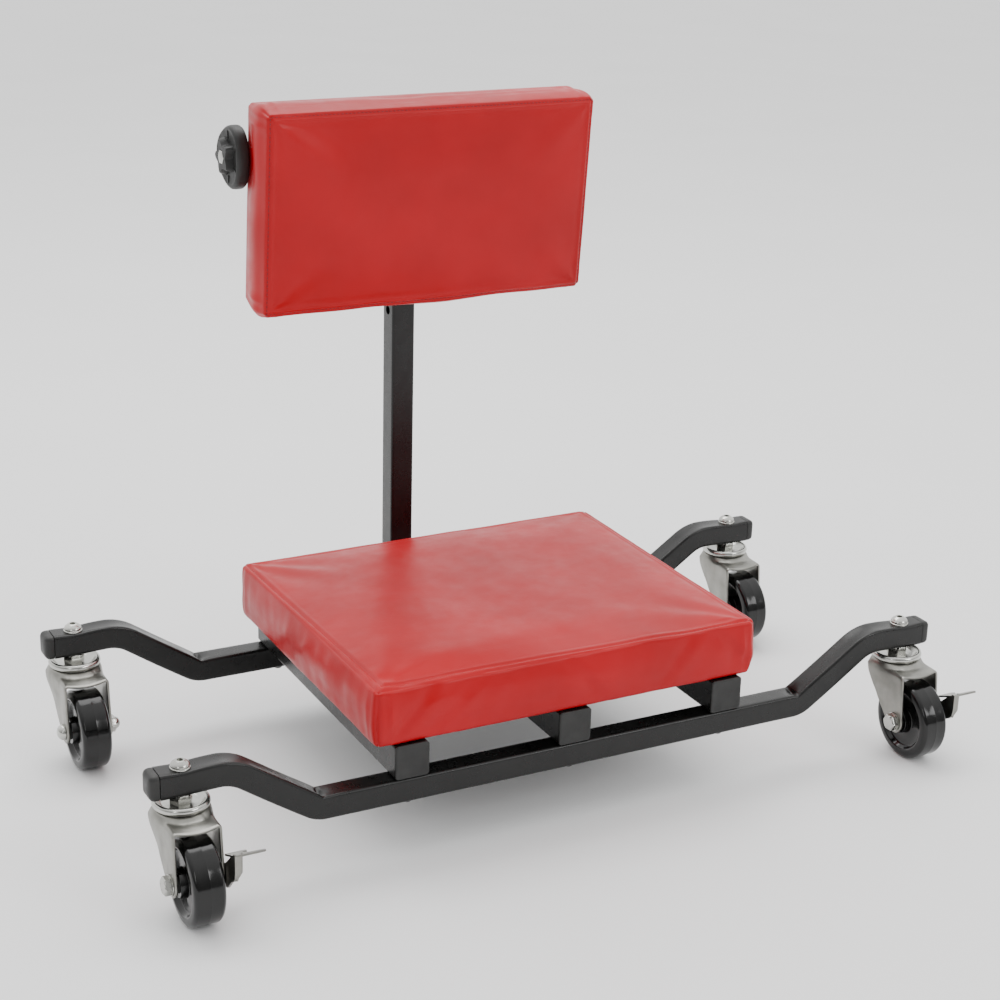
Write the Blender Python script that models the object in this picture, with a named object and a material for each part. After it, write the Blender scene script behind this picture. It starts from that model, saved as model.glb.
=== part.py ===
"""Low garage creeper seat with a height and tilt adjustable backrest.

Two bent square rails carry three cross tubes, the seat and four swivel castors.
An L-shaped post plugs into the rear of the middle cross tube and carries the
sliding head, on which the backrest tilts.  Units are metres, +Z is up, -Y is
the side that the sitter's legs are on, and the wheels stand on Z = 0.
"""
import math

import bmesh
import bpy
from mathutils import Matrix, Vector

# ---------------------------------------------------------------- clearances
GAP = 0.0003                    # between pieces that touch
RUNNING_GAP = 0.0005            # between pieces that turn or slide
MERGE = 0.00002                 # points closer than this are one point

# ---------------------------------------------------------------- frame
STEM_SPACING_X = 0.728          # castor bolt to castor bolt along a rail
RAIL_SPACING_Y = 0.304          # rail centre to rail centre
RAIL_SIZE = 0.0225
RAIL_WALL = 0.0018
RAIL_CORNER = 0.0022
RAIL_OVERHANG = 0.0205          # castor bolt to the end of the tube
RAIL_DROP = 0.0494              # raised ends above the middle of the rail
RAIL_SLOPE = math.radians(33.0)
RAIL_END_RUN = 0.1182           # lower bend's corner to the castor bolt
RAIL_UPPER_RADIUS = 0.043
RAIL_LOWER_RADIUS = 0.024
RAIL_BEND_STEPS = 3
RAIL_CAP_EDGE = 0.0028
RAIL_CAP_DOME = 0.0068
PLUG_CLEARANCE = 0.0012         # between a plug and the bolt behind it

CROSS_SIZE = 0.032
CROSS_WALL = 0.0018
CROSS_CORNER = 0.0024
CROSS_PITCH = 0.160
CROSS_CAP_EDGE = 0.002

RAIL_BOLT_DIAMETER = 0.006
RAIL_BOLT_HEAD = 0.0105
RAIL_BOLT_HEAD_HEIGHT = 0.0042

# ---------------------------------------------------------------- seat
SEAT_WIDTH = 0.379
SEAT_DEPTH = 0.318
SEAT_CENTRE = Vector((-0.0024, -0.0003))
SEAT_BOARD = 0.006
SEAT_BOARD_INSET = 0.004
SEAT_PAD = 0.048
PAD_CORNER = 0.014
PAD_EDGE = 0.008

# ---------------------------------------------------------------- castors
WHEEL_RADIUS = 0.0382
WHEEL_WIDTH = 0.028
WHEEL_SHOULDER = 0.0045
WHEEL_RECESS = 0.0022
WHEEL_RIM = 0.0085              # width of the tread ring on the side face
HUB_RADIUS = 0.0125
HUB_PROUD = 0.00275             # each hub face beyond the tread's side
BUSH_RADIUS = 0.0078
AXLE_DIAMETER = 0.0095
HEX_FLATS = 0.0145
AXLE_HEAD = 0.0068
CASTOR_TRAIL = 0.0324           # wheel axle behind the swivel axis, towards -Y
HUB_SIDE_GAP = 0.00195          # hub face to the leg's inner face
FORK_PLATE = 0.0028
FORK_FRONT = 0.0389
FORK_REAR = 0.0135
WHEEL_TOP_GAP = 0.0076          # tread to the underside of the crown
FORK_FOOT = 0.0115              # radius of the leg round the axle
DOME_RADIUS = 0.0268
DOME_HEIGHT = 0.0040
CUP_RADIUS = 0.0242
CUP_HEIGHT = 0.0066
CUP_BOSS = 0.0049               # hexagon boss above the cup's rim
CUP_RECESS_RADIUS = 0.0155
CUP_RECESS = 0.0048
STEM_DIAMETER = 0.010
STEM_NUT_FLATS = 0.017
STEM_HEAD_RADIUS = 0.0088
STEM_HEAD_HEIGHT = 0.0062
STEM_RIVET_RADIUS = 0.0078
STEM_RIVET_HEIGHT = 0.0030

# ---------------------------------------------------------------- brake lever
LEVER_PLATE = 0.0024
LEVER_HUB_RADIUS = 0.0100
LEVER_REACH = 0.0330            # axle to the lever's front wall
LEVER_LOW = 0.0075              # lower edge of the front wall above the axle
LEVER_TOP = 0.0325              # upper edge of the front wall above the axle
LEVER_WALL_OUT = 0.0075         # how far the front wall stands out from the leg
PEDAL_OUT = 0.0285              # pedal tip from the leg's face
PEDAL_DEPTH = 0.026
PEDAL_PLATE = 0.0018
PEDAL_ROLL = math.radians(23.0)
PEDAL_NOTCH = 0.010

# ---------------------------------------------------------------- backrest
POST_GUIDE = 0.00205            # collar wall between the post and the cross tube
POST_WALL = 0.002
POST_CORNER = 0.0024
POST_X = 0.002
POST_STANDOFF = 0.06315         # far end of the cross tubes to the post
POST_TOP = 0.530
POST_BEND_RADIUS = 0.036
POST_PLUG_DEPTH = 0.120         # arm inside the cross tube
POST_HOLE = 0.009
POST_HOLE_LOWEST = 0.381
POST_HOLE_PITCH = 0.024
POST_HOLE_COUNT = 5
PIN_HOLE_INDEX = 2              # hole that the height pin stands in
PIN_DIAMETER = 0.0082
PIN_KNOB_RADIUS = 0.011
PIN_KNOB_LENGTH = 0.016
PIN_TRAVEL = 0.0045             # from drawn out to fully in a post hole
SLEEVE_WALL = 0.003
SLEEVE_CORNER = 0.0036
SLEEVE_BOTTOM = 0.414
SLEEVE_TOP = 0.566
BAR_DIAMETER = 0.012
BAR_STANDOFF = 0.00895          # sleeve's face to the tilt bar
BAR_Z = 0.5500
BAR_RIGHT = 0.100
BLOCK_WIDTH = 0.034
BLOCK_HEIGHT = 0.026
BACK_WIDTH = 0.331
BACK_HEIGHT = 0.1886
BACK_CENTRE_X = -0.0048
BACK_FACE_Z = 0.5034            # middle of the pad's front face
BACK_FACE_FORWARD = 0.0658      # tilt bar to that middle
BACK_TILT = math.radians(4.75)  # top leans towards the sitter
BACK_PAD = 0.0465
BACK_BOARD = 0.008
BACK_BOARD_INSET = 0.004
LUG_PLATE = 0.004
LUG_RADIUS = 0.0095
LUG_HEIGHT = 0.034
LUG_RIGHT = 0.088
KNOB_RADIUS = 0.0310
KNOB_WIDTH = 0.0130
KNOB_BOSS_RADIUS = 0.0120
KNOB_BOSS = 0.0060
KNOB_SIDE_GAP = 0.0022          # between the pad's side and the knob
KNOB_LOBES = 3
KNOB_LOBE_DEPTH = 0.06          # share of the radius
KNOB_STUD = 0.006               # stud diameter
KNOB_STUD_LENGTH = 0.012
WASHER_RADIUS = 0.0105
WASHER_THICKNESS = 0.0016

# ---------------------------------------------------------------- derived
RAIL_HALF = STEM_SPACING_X / 2 + RAIL_OVERHANG
RAIL_LOW_HALF = STEM_SPACING_X / 2 - RAIL_END_RUN
HUB_WIDTH = WHEEL_WIDTH + 2 * HUB_PROUD
FORK_WIDTH = HUB_WIDTH + 2 * (FORK_PLATE + HUB_SIDE_GAP)
FORK_TOP = 2 * WHEEL_RADIUS + WHEEL_TOP_GAP + FORK_PLATE
CASTOR_HEIGHT = FORK_TOP + DOME_HEIGHT + RUNNING_GAP + CUP_HEIGHT + CUP_BOSS
RAIL_HIGH_Z = CASTOR_HEIGHT + RAIL_SIZE / 2
RAIL_LOW_Z = RAIL_HIGH_Z - RAIL_DROP
RAIL_OUTER_Y = (RAIL_SPACING_Y + RAIL_SIZE) / 2
CROSS_Z = RAIL_LOW_Z + (RAIL_SIZE + CROSS_SIZE) / 2 + GAP
CROSS_TOP = CROSS_Z + CROSS_SIZE / 2
CROSS_HALF = RAIL_OUTER_Y - CROSS_CAP_EDGE - GAP
RAIL_CAP_PLUG = RAIL_OVERHANG - STEM_DIAMETER / 2 - PLUG_CLEARANCE
CROSS_CAP_PLUG = CROSS_HALF - (RAIL_SPACING_Y + RAIL_BOLT_DIAMETER) / 2 - PLUG_CLEARANCE
SEAT_BOTTOM = CROSS_TOP + GAP
LEG_FACE = FORK_WIDTH / 2
POST_SIZE = CROSS_SIZE - 2 * (CROSS_WALL + POST_GUIDE)
POST_Y = CROSS_HALF + POST_STANDOFF
SLEEVE_SIZE = POST_SIZE + 2 * (RUNNING_GAP + SLEEVE_WALL)
BAR_Y = POST_Y - SLEEVE_SIZE / 2 - BAR_STANDOFF
BACK_FACE = Vector((BACK_CENTRE_X, BAR_Y - BACK_FACE_FORWARD, BACK_FACE_Z))
RAIL_BOLT_REACH = POST_GUIDE * 0.7      # stands into the cross tube, clear of the post
COLOURS = {
    "black_paint": ((0.012, 0.012, 0.011), 0.35, 0.0),
    "black_plastic": ((0.030, 0.030, 0.029), 0.55, 0.0),
    "red_vinyl": ((0.500, 0.010, 0.022), 0.38, 0.0),
    "plywood": ((0.060, 0.045, 0.035), 0.80, 0.0),
    "zinc": ((0.420, 0.420, 0.400), 0.30, 1.0),
    "black_wheel": ((0.010, 0.010, 0.010), 0.22, 0.0),
    "bush_nylon": ((0.040, 0.040, 0.040), 0.50, 0.0),
}


# ================================================================ mesh tools
def material(name):
    """Return the named finish, made on its first use."""
    found = bpy.data.materials.get(name)
    if found:
        return found
    colour, roughness, metallic = COLOURS[name]
    made = bpy.data.materials.new(name)
    made.use_nodes = True
    shader = made.node_tree.nodes["Principled BSDF"]
    shader.inputs["Base Color"].default_value = (*colour, 1.0)
    shader.inputs["Roughness"].default_value = roughness
    shader.inputs["Metallic"].default_value = metallic
    return made


def add_object(name, bm, finish, parent, location=(0, 0, 0)):
    """Turn a bmesh into a smooth-shaded object under its parent."""
    bmesh.ops.remove_doubles(bm, verts=bm.verts, dist=MERGE)
    bmesh.ops.recalc_face_normals(bm, faces=bm.faces)
    mesh = bpy.data.meshes.new(name)
    bm.to_mesh(mesh)
    bm.free()
    mesh.shade_smooth()
    mesh.set_sharp_from_angle(angle=math.radians(35))
    mesh.materials.append(material(finish))
    return link_object(name, mesh, parent, location)


def link_object(name, data, parent, location=(0, 0, 0)):
    """Link an object with its place relative to its parent."""
    made = bpy.data.objects.new(name, data)
    bpy.context.scene.collection.objects.link(made)
    made.parent = parent
    made.location = location
    return made


def add_cutter(target, name, bm, operation="DIFFERENCE"):
    """Cut or join a helper shape, given in the target's own frame."""
    cutter = add_object("cutter_" + name, bm, "black_plastic", target)
    cutter.hide_render = True
    cutter.display_type = "WIRE"
    step = target.modifiers.new(name, "BOOLEAN")
    step.operation = operation
    step.solver = "EXACT"
    step.object = cutter
    return cutter


def rounded_square(half_u, half_v, corner, steps=1):
    """Outline of a rectangle with round corners, as (u, v) points."""
    points = []
    for quarter, (su, sv) in enumerate(((1, 1), (-1, 1), (-1, -1), (1, -1))):
        for step in range(steps + 1):
            angle = math.pi / 2 * (quarter + step / steps)
            points.append((su * (half_u - corner) + corner * math.cos(angle),
                           sv * (half_v - corner) + corner * math.sin(angle)))
    return points


def circle(radius, steps, start=0.0):
    """Outline of a circle, as (u, v) points."""
    turn = 2 * math.pi / steps
    return [(radius * math.cos(start + turn * k), radius * math.sin(start + turn * k))
            for k in range(steps)]


def hexagon(flats):
    """Outline of a hexagon, measured across its flats."""
    return circle(flats / math.sqrt(3), 6)


def frame_at(origin, u_axis, v_axis):
    """Matrix that sets (u, v, w) coordinates at a place, with w = u x v."""
    u_axis = Vector(u_axis).normalized()
    v_axis = Vector(v_axis).normalized()
    turn = Matrix((u_axis, v_axis, u_axis.cross(v_axis))).transposed().to_4x4()
    return Matrix.Translation(origin) @ turn


ALONG_X = ((0, 1, 0), (0, 0, 1))
ALONG_Y = ((0, 0, 1), (1, 0, 0))
ALONG_Z = ((1, 0, 0), (0, 1, 0))


def ring(bm, outline, matrix, offset=0.0):
    """Add an outline's points to the mesh."""
    return [bm.verts.new(matrix @ Vector((u, v, offset))) for u, v in outline]


def join_rings(bm, first, second):
    """Close the band between two rings of equal count."""
    count = len(first)
    for k in range(count):
        nxt = (k + 1) % count
        bm.faces.new((first[k], first[nxt], second[nxt], second[k]))


def loft(bm, sections, matrix):
    """Closed solid through (outline, offset) sections along the w axis."""
    rings = [ring(bm, outline, matrix, offset) for outline, offset in sections]
    for first, second in zip(rings, rings[1:]):
        join_rings(bm, first, second)
    bm.faces.new(rings[0][::-1])
    bm.faces.new(rings[-1])


def turned(bm, profile, matrix, steps=24):
    """Closed solid of revolution through (radius, offset) pairs."""
    loft(bm, [(circle(radius, steps), offset) for radius, offset in profile], matrix)


def turned_tube(bm, profile, bore, matrix, steps=24):
    """Solid of revolution with a round bore right through."""
    loop = [(bore, profile[0][1]), *profile, (bore, profile[-1][1])]
    rings = [ring(bm, circle(radius, steps), matrix, offset) for radius, offset in loop]
    for first, second in zip(rings, rings[1:] + rings[:1]):
        join_rings(bm, first, second)


def prism(bm, outline, matrix, start, end):
    """Extrude an outline between two offsets."""
    loft(bm, [(outline, start), (outline, end)], matrix)


def box(bm, low, high):
    """Plain box between two corners."""
    half = [(b - a) / 2 for a, b in zip(low, high)]
    middle = Vector([(a + b) / 2 for a, b in zip(low, high)])
    outline = [(half[0], half[1]), (-half[0], half[1]),
               (-half[0], -half[1]), (half[0], -half[1])]
    prism(bm, outline, Matrix.Translation(middle), -half[2], half[2])


def swept_tube(bm, frames, size, wall, corner):
    """Square tube open at both ends, through a list of section frames."""
    inner_corner = max(corner - wall, corner / 4)
    outer = rounded_square(size / 2, size / 2, corner)
    inner = rounded_square(size / 2 - wall, size / 2 - wall, inner_corner)
    outers = [ring(bm, outer, matrix) for matrix in frames]
    inners = [ring(bm, inner, matrix) for matrix in frames]
    for k in range(len(frames) - 1):
        join_rings(bm, outers[k], outers[k + 1])
        join_rings(bm, inners[k + 1], inners[k])
    join_rings(bm, inners[0], outers[0])
    join_rings(bm, outers[-1], inners[-1])


def bent_path(corners, steps):
    """Points and directions along a polyline whose corners are arcs.

    Each corner is (point, bend radius); the ends have radius 0.
    """
    places = [corners[0][0]]
    for k in range(1, len(corners) - 1):
        before, (point, radius), after = corners[k - 1][0], corners[k], corners[k + 1][0]
        inward = (point - before).normalized()
        outward = (after - point).normalized()
        angle = inward.angle(outward)
        trim = radius * math.tan(angle / 2)
        bend_axis = inward.cross(outward).normalized()
        centre = point - inward * trim + bend_axis.cross(inward) * radius
        start = point - inward * trim - centre
        for step in range(steps + 1):
            places.append(centre + Matrix.Rotation(angle * step / steps, 3, bend_axis) @ start)
    places.append(corners[-1][0])
    return places


def sweep_frames(places, side):
    """Section frames along a plane path; side is the path plane's normal."""
    frames = []
    for k, place in enumerate(places):
        before = (place - places[k - 1]).normalized() if k else None
        after = (places[k + 1] - place).normalized() if k < len(places) - 1 else None
        along = ((before or after) + (after or before)).normalized()
        up = along.cross(side).normalized()
        stretch = 1.0
        if before and after:
            stretch = 1 / math.cos(before.angle(after) / 2)
        frame = frame_at(place, side, up)
        frames.append(frame @ Matrix.Diagonal((1, stretch, 1, 1)))
    return frames


def soft_pad(bm, width, depth, height, matrix):
    """Plain pad with rounded upright corners and eased edges."""
    def outline(inset):
        return rounded_square(width / 2 - inset, depth / 2 - inset, PAD_CORNER, 3)
    loft(bm, [(outline(PAD_EDGE / 2), 0.0), (outline(0), PAD_EDGE / 2),
              (outline(0), height - PAD_EDGE), (outline(PAD_EDGE), height)], matrix)


# ================================================================ frame
def rail_places():
    """Centre line of a rail in the XZ plane, from left to right."""
    run = RAIL_DROP / math.tan(RAIL_SLOPE)
    half = [(Vector((RAIL_LOW_HALF, 0, RAIL_LOW_Z)), RAIL_LOWER_RADIUS),
            (Vector((RAIL_LOW_HALF + run, 0, RAIL_HIGH_Z)), RAIL_UPPER_RADIUS),
            (Vector((RAIL_HALF, 0, RAIL_HIGH_Z)), 0)]
    mirrored = [(Vector((-p.x, 0, p.z)), radius) for p, radius in reversed(half)]
    return bent_path(mirrored + half, RAIL_BEND_STEPS)


def make_rail(name, y, parent):
    """One rail tube with the holes for its castor and cross tube bolts."""
    bm = bmesh.new()
    places = [place + Vector((0, y, 0)) for place in rail_places()]
    swept_tube(bm, sweep_frames(places, Vector((0, 1, 0))), RAIL_SIZE, RAIL_WALL, RAIL_CORNER)
    rail = add_object(name, bm, "black_paint", parent)
    holes = bmesh.new()
    for x in (-STEM_SPACING_X / 2, STEM_SPACING_X / 2):
        drill(holes, STEM_DIAMETER / 2 + GAP, (x, y, RAIL_HIGH_Z), RAIL_SIZE)
    for x in cross_stations():
        drill(holes, RAIL_BOLT_DIAMETER / 2 + GAP, (x, y, RAIL_LOW_Z), RAIL_SIZE)
    add_cutter(rail, name + "_holes", holes)
    return rail


def drill(bm, radius, centre, depth, axes=ALONG_Z, steps=12):
    """Add a round cutter that passes a little beyond the depth."""
    reach = depth / 2 + 0.001
    turned(bm, [(radius, -reach), (radius, reach)], frame_at(centre, *axes), steps)


def cross_stations():
    """X positions of the three cross tubes."""
    return (-CROSS_PITCH, 0.0, CROSS_PITCH)


def make_rail_cap(name, end, y, parent):
    """Domed plastic plug in a rail's end; end is -1 left or +1 right."""
    bm = bmesh.new()
    half = RAIL_SIZE / 2
    plug = half - RAIL_WALL - GAP
    inner_corner = RAIL_CORNER / 2
    matrix = frame_at((end * RAIL_HALF, y, RAIL_HIGH_Z), (0, 1, 0), (0, 0, end))
    sections = [
        (rounded_square(plug, plug, inner_corner), -RAIL_CAP_PLUG),
        (rounded_square(plug, plug, inner_corner), GAP),
        (rounded_square(half, half, RAIL_CORNER), GAP),
        (rounded_square(half, half, RAIL_CORNER), RAIL_CAP_EDGE),
        (rounded_square(half * 0.82, half * 0.82, RAIL_CORNER), RAIL_CAP_EDGE + 0.55 * RAIL_CAP_DOME),
        (rounded_square(half * 0.45, half * 0.45, RAIL_CORNER), RAIL_CAP_EDGE + RAIL_CAP_DOME),
    ]
    loft(bm, sections, matrix)
    add_object(name, bm, "black_plastic", parent)


def make_cross_tube(name, x, parent):
    """One cross tube with bolt holes through its lower wall."""
    bm = bmesh.new()
    ends = (Vector((x, -CROSS_HALF, CROSS_Z)), Vector((x, CROSS_HALF, CROSS_Z)))
    swept_tube(bm, sweep_frames(ends, Vector((1, 0, 0))), CROSS_SIZE, CROSS_WALL, CROSS_CORNER)
    tube = add_object(name, bm, "black_paint", parent)
    holes = bmesh.new()
    for y in (-RAIL_SPACING_Y / 2, RAIL_SPACING_Y / 2):
        drill(holes, RAIL_BOLT_DIAMETER / 2 + GAP, (x, y, CROSS_Z - CROSS_SIZE / 2), 2 * CROSS_WALL)
    add_cutter(tube, name + "_holes", holes)


def cap_sections(tube_size, wall, corner, edge, plug_depth):
    """Stepped square plug: inside the tube, then its flat edge."""
    plug = tube_size / 2 - wall - GAP
    inner_corner = corner / 2
    half = tube_size / 2
    return [(rounded_square(plug, plug, inner_corner), -plug_depth),
            (rounded_square(plug, plug, inner_corner), GAP),
            (rounded_square(half, half, corner), GAP),
            (rounded_square(half, half, corner), GAP + edge)]


def make_cross_cap(name, x, side, parent):
    """Flat plastic plug in a cross tube's end; side is -1 near or +1 far."""
    bm = bmesh.new()
    matrix = frame_at((x, side * CROSS_HALF, CROSS_Z), (0, 0, 1), (side, 0, 0))
    loft(bm, cap_sections(CROSS_SIZE, CROSS_WALL, CROSS_CORNER, CROSS_CAP_EDGE,
                          CROSS_CAP_PLUG), matrix)
    return add_object(name, bm, "black_plastic", parent)


def make_post_collar(name, parent):
    """Plastic guide in the middle cross tube's rear mouth, bored for the post."""
    collar = make_cross_cap(name, 0.0, 1, parent)
    bm = bmesh.new()
    half = POST_SIZE / 2 + GAP
    outline = rounded_square(half, half, POST_CORNER)
    prism(bm, outline, frame_at((POST_X, CROSS_HALF, CROSS_Z), *ALONG_Y),
          -2 * CROSS_CAP_PLUG, 2 * CROSS_CAP_PLUG)
    add_cutter(collar, name + "_bore", bm)


def make_rail_bolt(name, x, y, parent):
    """Round-headed bolt from under the rail up into the cross tube."""
    bm = bmesh.new()
    under = RAIL_LOW_Z - RAIL_SIZE / 2 - GAP
    radius = RAIL_BOLT_DIAMETER / 2
    head = RAIL_BOLT_HEAD / 2
    profile = [(head * 0.55, -RAIL_BOLT_HEAD_HEIGHT), (head * 0.88, -0.65 * RAIL_BOLT_HEAD_HEIGHT),
               (head, 0.0), (radius, 0.0),
               (radius, RAIL_SIZE + CROSS_WALL + RAIL_BOLT_REACH)]
    turned(bm, profile, Matrix.Translation((x, y, under)), 12)
    add_object(name, bm, "black_paint", parent)


def make_frame(parent):
    """Rails, cross tubes, caps and bolts."""
    for side, y in (("near", -RAIL_SPACING_Y / 2), ("far", RAIL_SPACING_Y / 2)):
        make_rail(side + "_rail", y, parent)
        for end, hand in ((-1, "left"), (1, "right")):
            make_rail_cap(f"rail_cap_{side}_{hand}", end, y, parent)
    for label, x in zip(("left", "middle", "right"), cross_stations()):
        make_cross_tube("cross_tube_" + label, x, parent)
        make_cross_cap(f"cross_cap_near_{label}", x, -1, parent)
        if label != "middle":
            make_cross_cap(f"cross_cap_far_{label}", x, 1, parent)
        for side, y in (("near", -RAIL_SPACING_Y / 2), ("far", RAIL_SPACING_Y / 2)):
            make_rail_bolt(f"rail_bolt_{side}_{label}", x, y, parent)
    make_post_collar("post_collar", parent)


def make_seat(parent):
    """Seat board and its pad."""
    middle = (SEAT_CENTRE.x, SEAT_CENTRE.y, SEAT_BOTTOM)
    bm = bmesh.new()
    outline = rounded_square(SEAT_WIDTH / 2 - SEAT_BOARD_INSET, SEAT_DEPTH / 2 - SEAT_BOARD_INSET,
                             PAD_CORNER)
    prism(bm, outline, Matrix.Translation(middle), 0, SEAT_BOARD)
    add_object("seat_board", bm, "plywood", parent)
    bm = bmesh.new()
    raised = Matrix.Translation(middle) @ Matrix.Translation((0, 0, SEAT_BOARD + GAP))
    soft_pad(bm, SEAT_WIDTH, SEAT_DEPTH, SEAT_PAD, raised)
    add_object("seat_cushion", bm, "red_vinyl", parent)


# ================================================================ castors
def make_castor_bolt(name, stem, parent):
    """Button-headed bolt through the rail that the castor swivels on."""
    bm = bmesh.new()
    radius = STEM_DIAMETER / 2
    top = CASTOR_HEIGHT + RAIL_SIZE + GAP
    head = STEM_HEAD_RADIUS
    rivet_top = FORK_TOP - FORK_PLATE - RUNNING_GAP
    profile = [(STEM_RIVET_RADIUS, rivet_top - STEM_RIVET_HEIGHT), (STEM_RIVET_RADIUS, rivet_top),
               (radius, rivet_top), (radius, top), (head, top),
               (head, top + 0.25 * STEM_HEAD_HEIGHT),
               (head * 0.86, top + 0.72 * STEM_HEAD_HEIGHT),
               (head * 0.42, top + STEM_HEAD_HEIGHT)]
    turned(bm, profile, Matrix.Translation(stem), 12)
    add_object(name, bm, "zinc", parent)


def make_bearing_cup(name, stem, parent):
    """Upper ball race with a rolled rim and a hexagon boss up to the rail."""
    bm = bmesh.new()
    base = FORK_TOP + DOME_HEIGHT + RUNNING_GAP
    rim = base + CUP_HEIGHT
    floor = rim - CUP_RECESS
    profile = [(CUP_RADIUS * 0.93, base), (CUP_RADIUS, base + 0.30 * CUP_HEIGHT),
               (CUP_RADIUS * 0.97, base + 0.75 * CUP_HEIGHT), (CUP_RADIUS * 0.88, rim),
               (CUP_RECESS_RADIUS, floor)]
    bore = STEM_DIAMETER / 2 + GAP
    turned_tube(bm, profile, bore, Matrix.Translation(stem), 20)
    cup = add_object(name, bm, "zinc", parent)
    boss = bmesh.new()
    loop = hexagon(STEM_NUT_FLATS)
    matrix = Matrix.Translation(stem)
    prism(boss, loop, matrix, floor - 0.001, CASTOR_HEIGHT - GAP)
    add_cutter(cup, name + "_boss", boss, "UNION")
    bored = bmesh.new()
    drill(bored, bore, Vector(stem) + Vector((0, 0, FORK_TOP + 0.01)), 0.05, steps=20)
    add_cutter(cup, name + "_bore", bored)


def leg_outline():
    """Side view of a fork leg as (y, z) points, from the swivel axis."""
    points = [(-FORK_FRONT, FORK_TOP)]
    for degrees in (170, 200, 230, 260, 290, 315):
        angle = math.radians(degrees)
        points.append((-CASTOR_TRAIL + FORK_FOOT * math.cos(angle),
                       WHEEL_RADIUS + FORK_FOOT * math.sin(angle)))
    knee = (FORK_REAR - 0.0035, WHEEL_RADIUS + 0.64 * (FORK_TOP - WHEEL_RADIUS) - 0.007)
    points += [knee, (FORK_REAR, knee[1] + 0.012), (FORK_REAR, FORK_TOP)]
    return points


def make_fork(name, parent):
    """Pressed fork with a domed lower race; its frame is at the swivel axis."""
    bm = bmesh.new()
    across = frame_at((0, 0, 0), *ALONG_X)
    prism(bm, leg_outline(), across, -LEG_FACE, LEG_FACE)
    fork = add_object(name, bm, "zinc", parent)
    inside = bmesh.new()
    reach = 0.02
    half = LEG_FACE - FORK_PLATE
    box(inside, (-half, -FORK_FRONT - reach, -reach), (half, FORK_REAR + reach, FORK_TOP - FORK_PLATE))
    add_cutter(fork, name + "_inside", inside)
    dome = bmesh.new()
    turned(dome, [(DOME_RADIUS, FORK_TOP - FORK_PLATE + 0.0002), (DOME_RADIUS, FORK_TOP),
                  (DOME_RADIUS - DOME_HEIGHT * 0.6, FORK_TOP + DOME_HEIGHT)], Matrix(), 20)
    add_cutter(fork, name + "_dome", dome, "UNION")
    holes = bmesh.new()
    drill(holes, STEM_DIAMETER / 2 + RUNNING_GAP, (0, 0, FORK_TOP), 4 * DOME_HEIGHT)
    drill(holes, AXLE_DIAMETER / 2 + GAP, (0, -CASTOR_TRAIL, WHEEL_RADIUS), 2 * FORK_WIDTH, ALONG_X)
    add_cutter(fork, name + "_holes", holes)


def make_axle(name, domed, parent):
    """Axle bolt with its head on the left; its frame is on the wheel's axis."""
    bm = bmesh.new()
    radius = AXLE_DIAMETER / 2
    face = LEG_FACE + GAP
    along = frame_at((0, 0, 0), *ALONG_X)
    shank_end = face + LEVER_PLATE + AXLE_HEAD * 0.6
    if domed:
        head = HEX_FLATS * 0.54
        turned(bm, [(head * 0.35, -face - AXLE_HEAD), (head * 0.82, -face - 0.72 * AXLE_HEAD),
                    (head, -face - 0.15 * AXLE_HEAD), (head, -face), (radius, -face),
                    (radius, shank_end)], along, 12)
    else:
        loft(bm, [(hexagon(HEX_FLATS), -face - AXLE_HEAD), (hexagon(HEX_FLATS), -face)], along)
        axle = add_object(name, bm, "zinc", parent)
        shank = bmesh.new()
        turned(shank, [(radius, -face - AXLE_HEAD / 2), (radius, shank_end)], along, 12)
        add_cutter(axle, name + "_shank", shank, "UNION")
        return
    add_object(name, bm, "zinc", parent)


def make_axle_nut(name, braked, parent):
    """Nut on the axle's right end: a plain one over the lever, or a domed one."""
    bm = bmesh.new()
    along = frame_at((0, 0, 0), *ALONG_X)
    start = LEG_FACE + GAP + (LEVER_PLATE + GAP if braked else 0)
    sections = [(hexagon(HEX_FLATS), start), (hexagon(HEX_FLATS), start + AXLE_HEAD * 0.75)]
    nut_end = start + AXLE_HEAD * 0.75
    if not braked:
        nut_end += AXLE_HEAD * 0.7
        sections.append((hexagon(HEX_FLATS * 0.45), nut_end))
    loft(bm, sections, along)
    nut = add_object(name, bm, "zinc", parent)
    bored = bmesh.new()
    shank_end = LEG_FACE + GAP + LEVER_PLATE + AXLE_HEAD * 0.6
    reach = nut_end + 0.001 if braked else shank_end + GAP
    turned(bored, [(AXLE_DIAMETER / 2 + GAP, start - 0.001), (AXLE_DIAMETER / 2 + GAP, reach)],
           along, 12)
    add_cutter(nut, name + "_bore", bored)


def make_wheel(name, parent):
    """Moulded wheel with rounded shoulders, a recessed web and a long hub."""
    bm = bmesh.new()
    half = WHEEL_WIDTH / 2
    rim = WHEEL_RADIUS - WHEEL_RIM
    side = [(HUB_RADIUS, HUB_WIDTH / 2), (HUB_RADIUS, half - WHEEL_RECESS),
            (rim - WHEEL_RECESS, half - WHEEL_RECESS), (rim, half),
            (WHEEL_RADIUS - WHEEL_SHOULDER, half),
            (WHEEL_RADIUS, half - WHEEL_SHOULDER)]
    profile = [(radius, -offset) for radius, offset in side] + list(reversed(side))
    turned_tube(bm, profile, BUSH_RADIUS + GAP, frame_at((0, 0, 0), *ALONG_X), 26)
    add_object(name, bm, "black_wheel", parent)


def make_bush(name, parent):
    """Bearing bush between the wheel's hub and the axle."""
    bm = bmesh.new()
    half = LEG_FACE - FORK_PLATE - RUNNING_GAP
    turned_tube(bm, [(BUSH_RADIUS, -half), (BUSH_RADIUS, half)], AXLE_DIAMETER / 2 + GAP,
                frame_at((0, 0, 0), *ALONG_X), 16)
    add_object(name, bm, "bush_nylon", parent)


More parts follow.
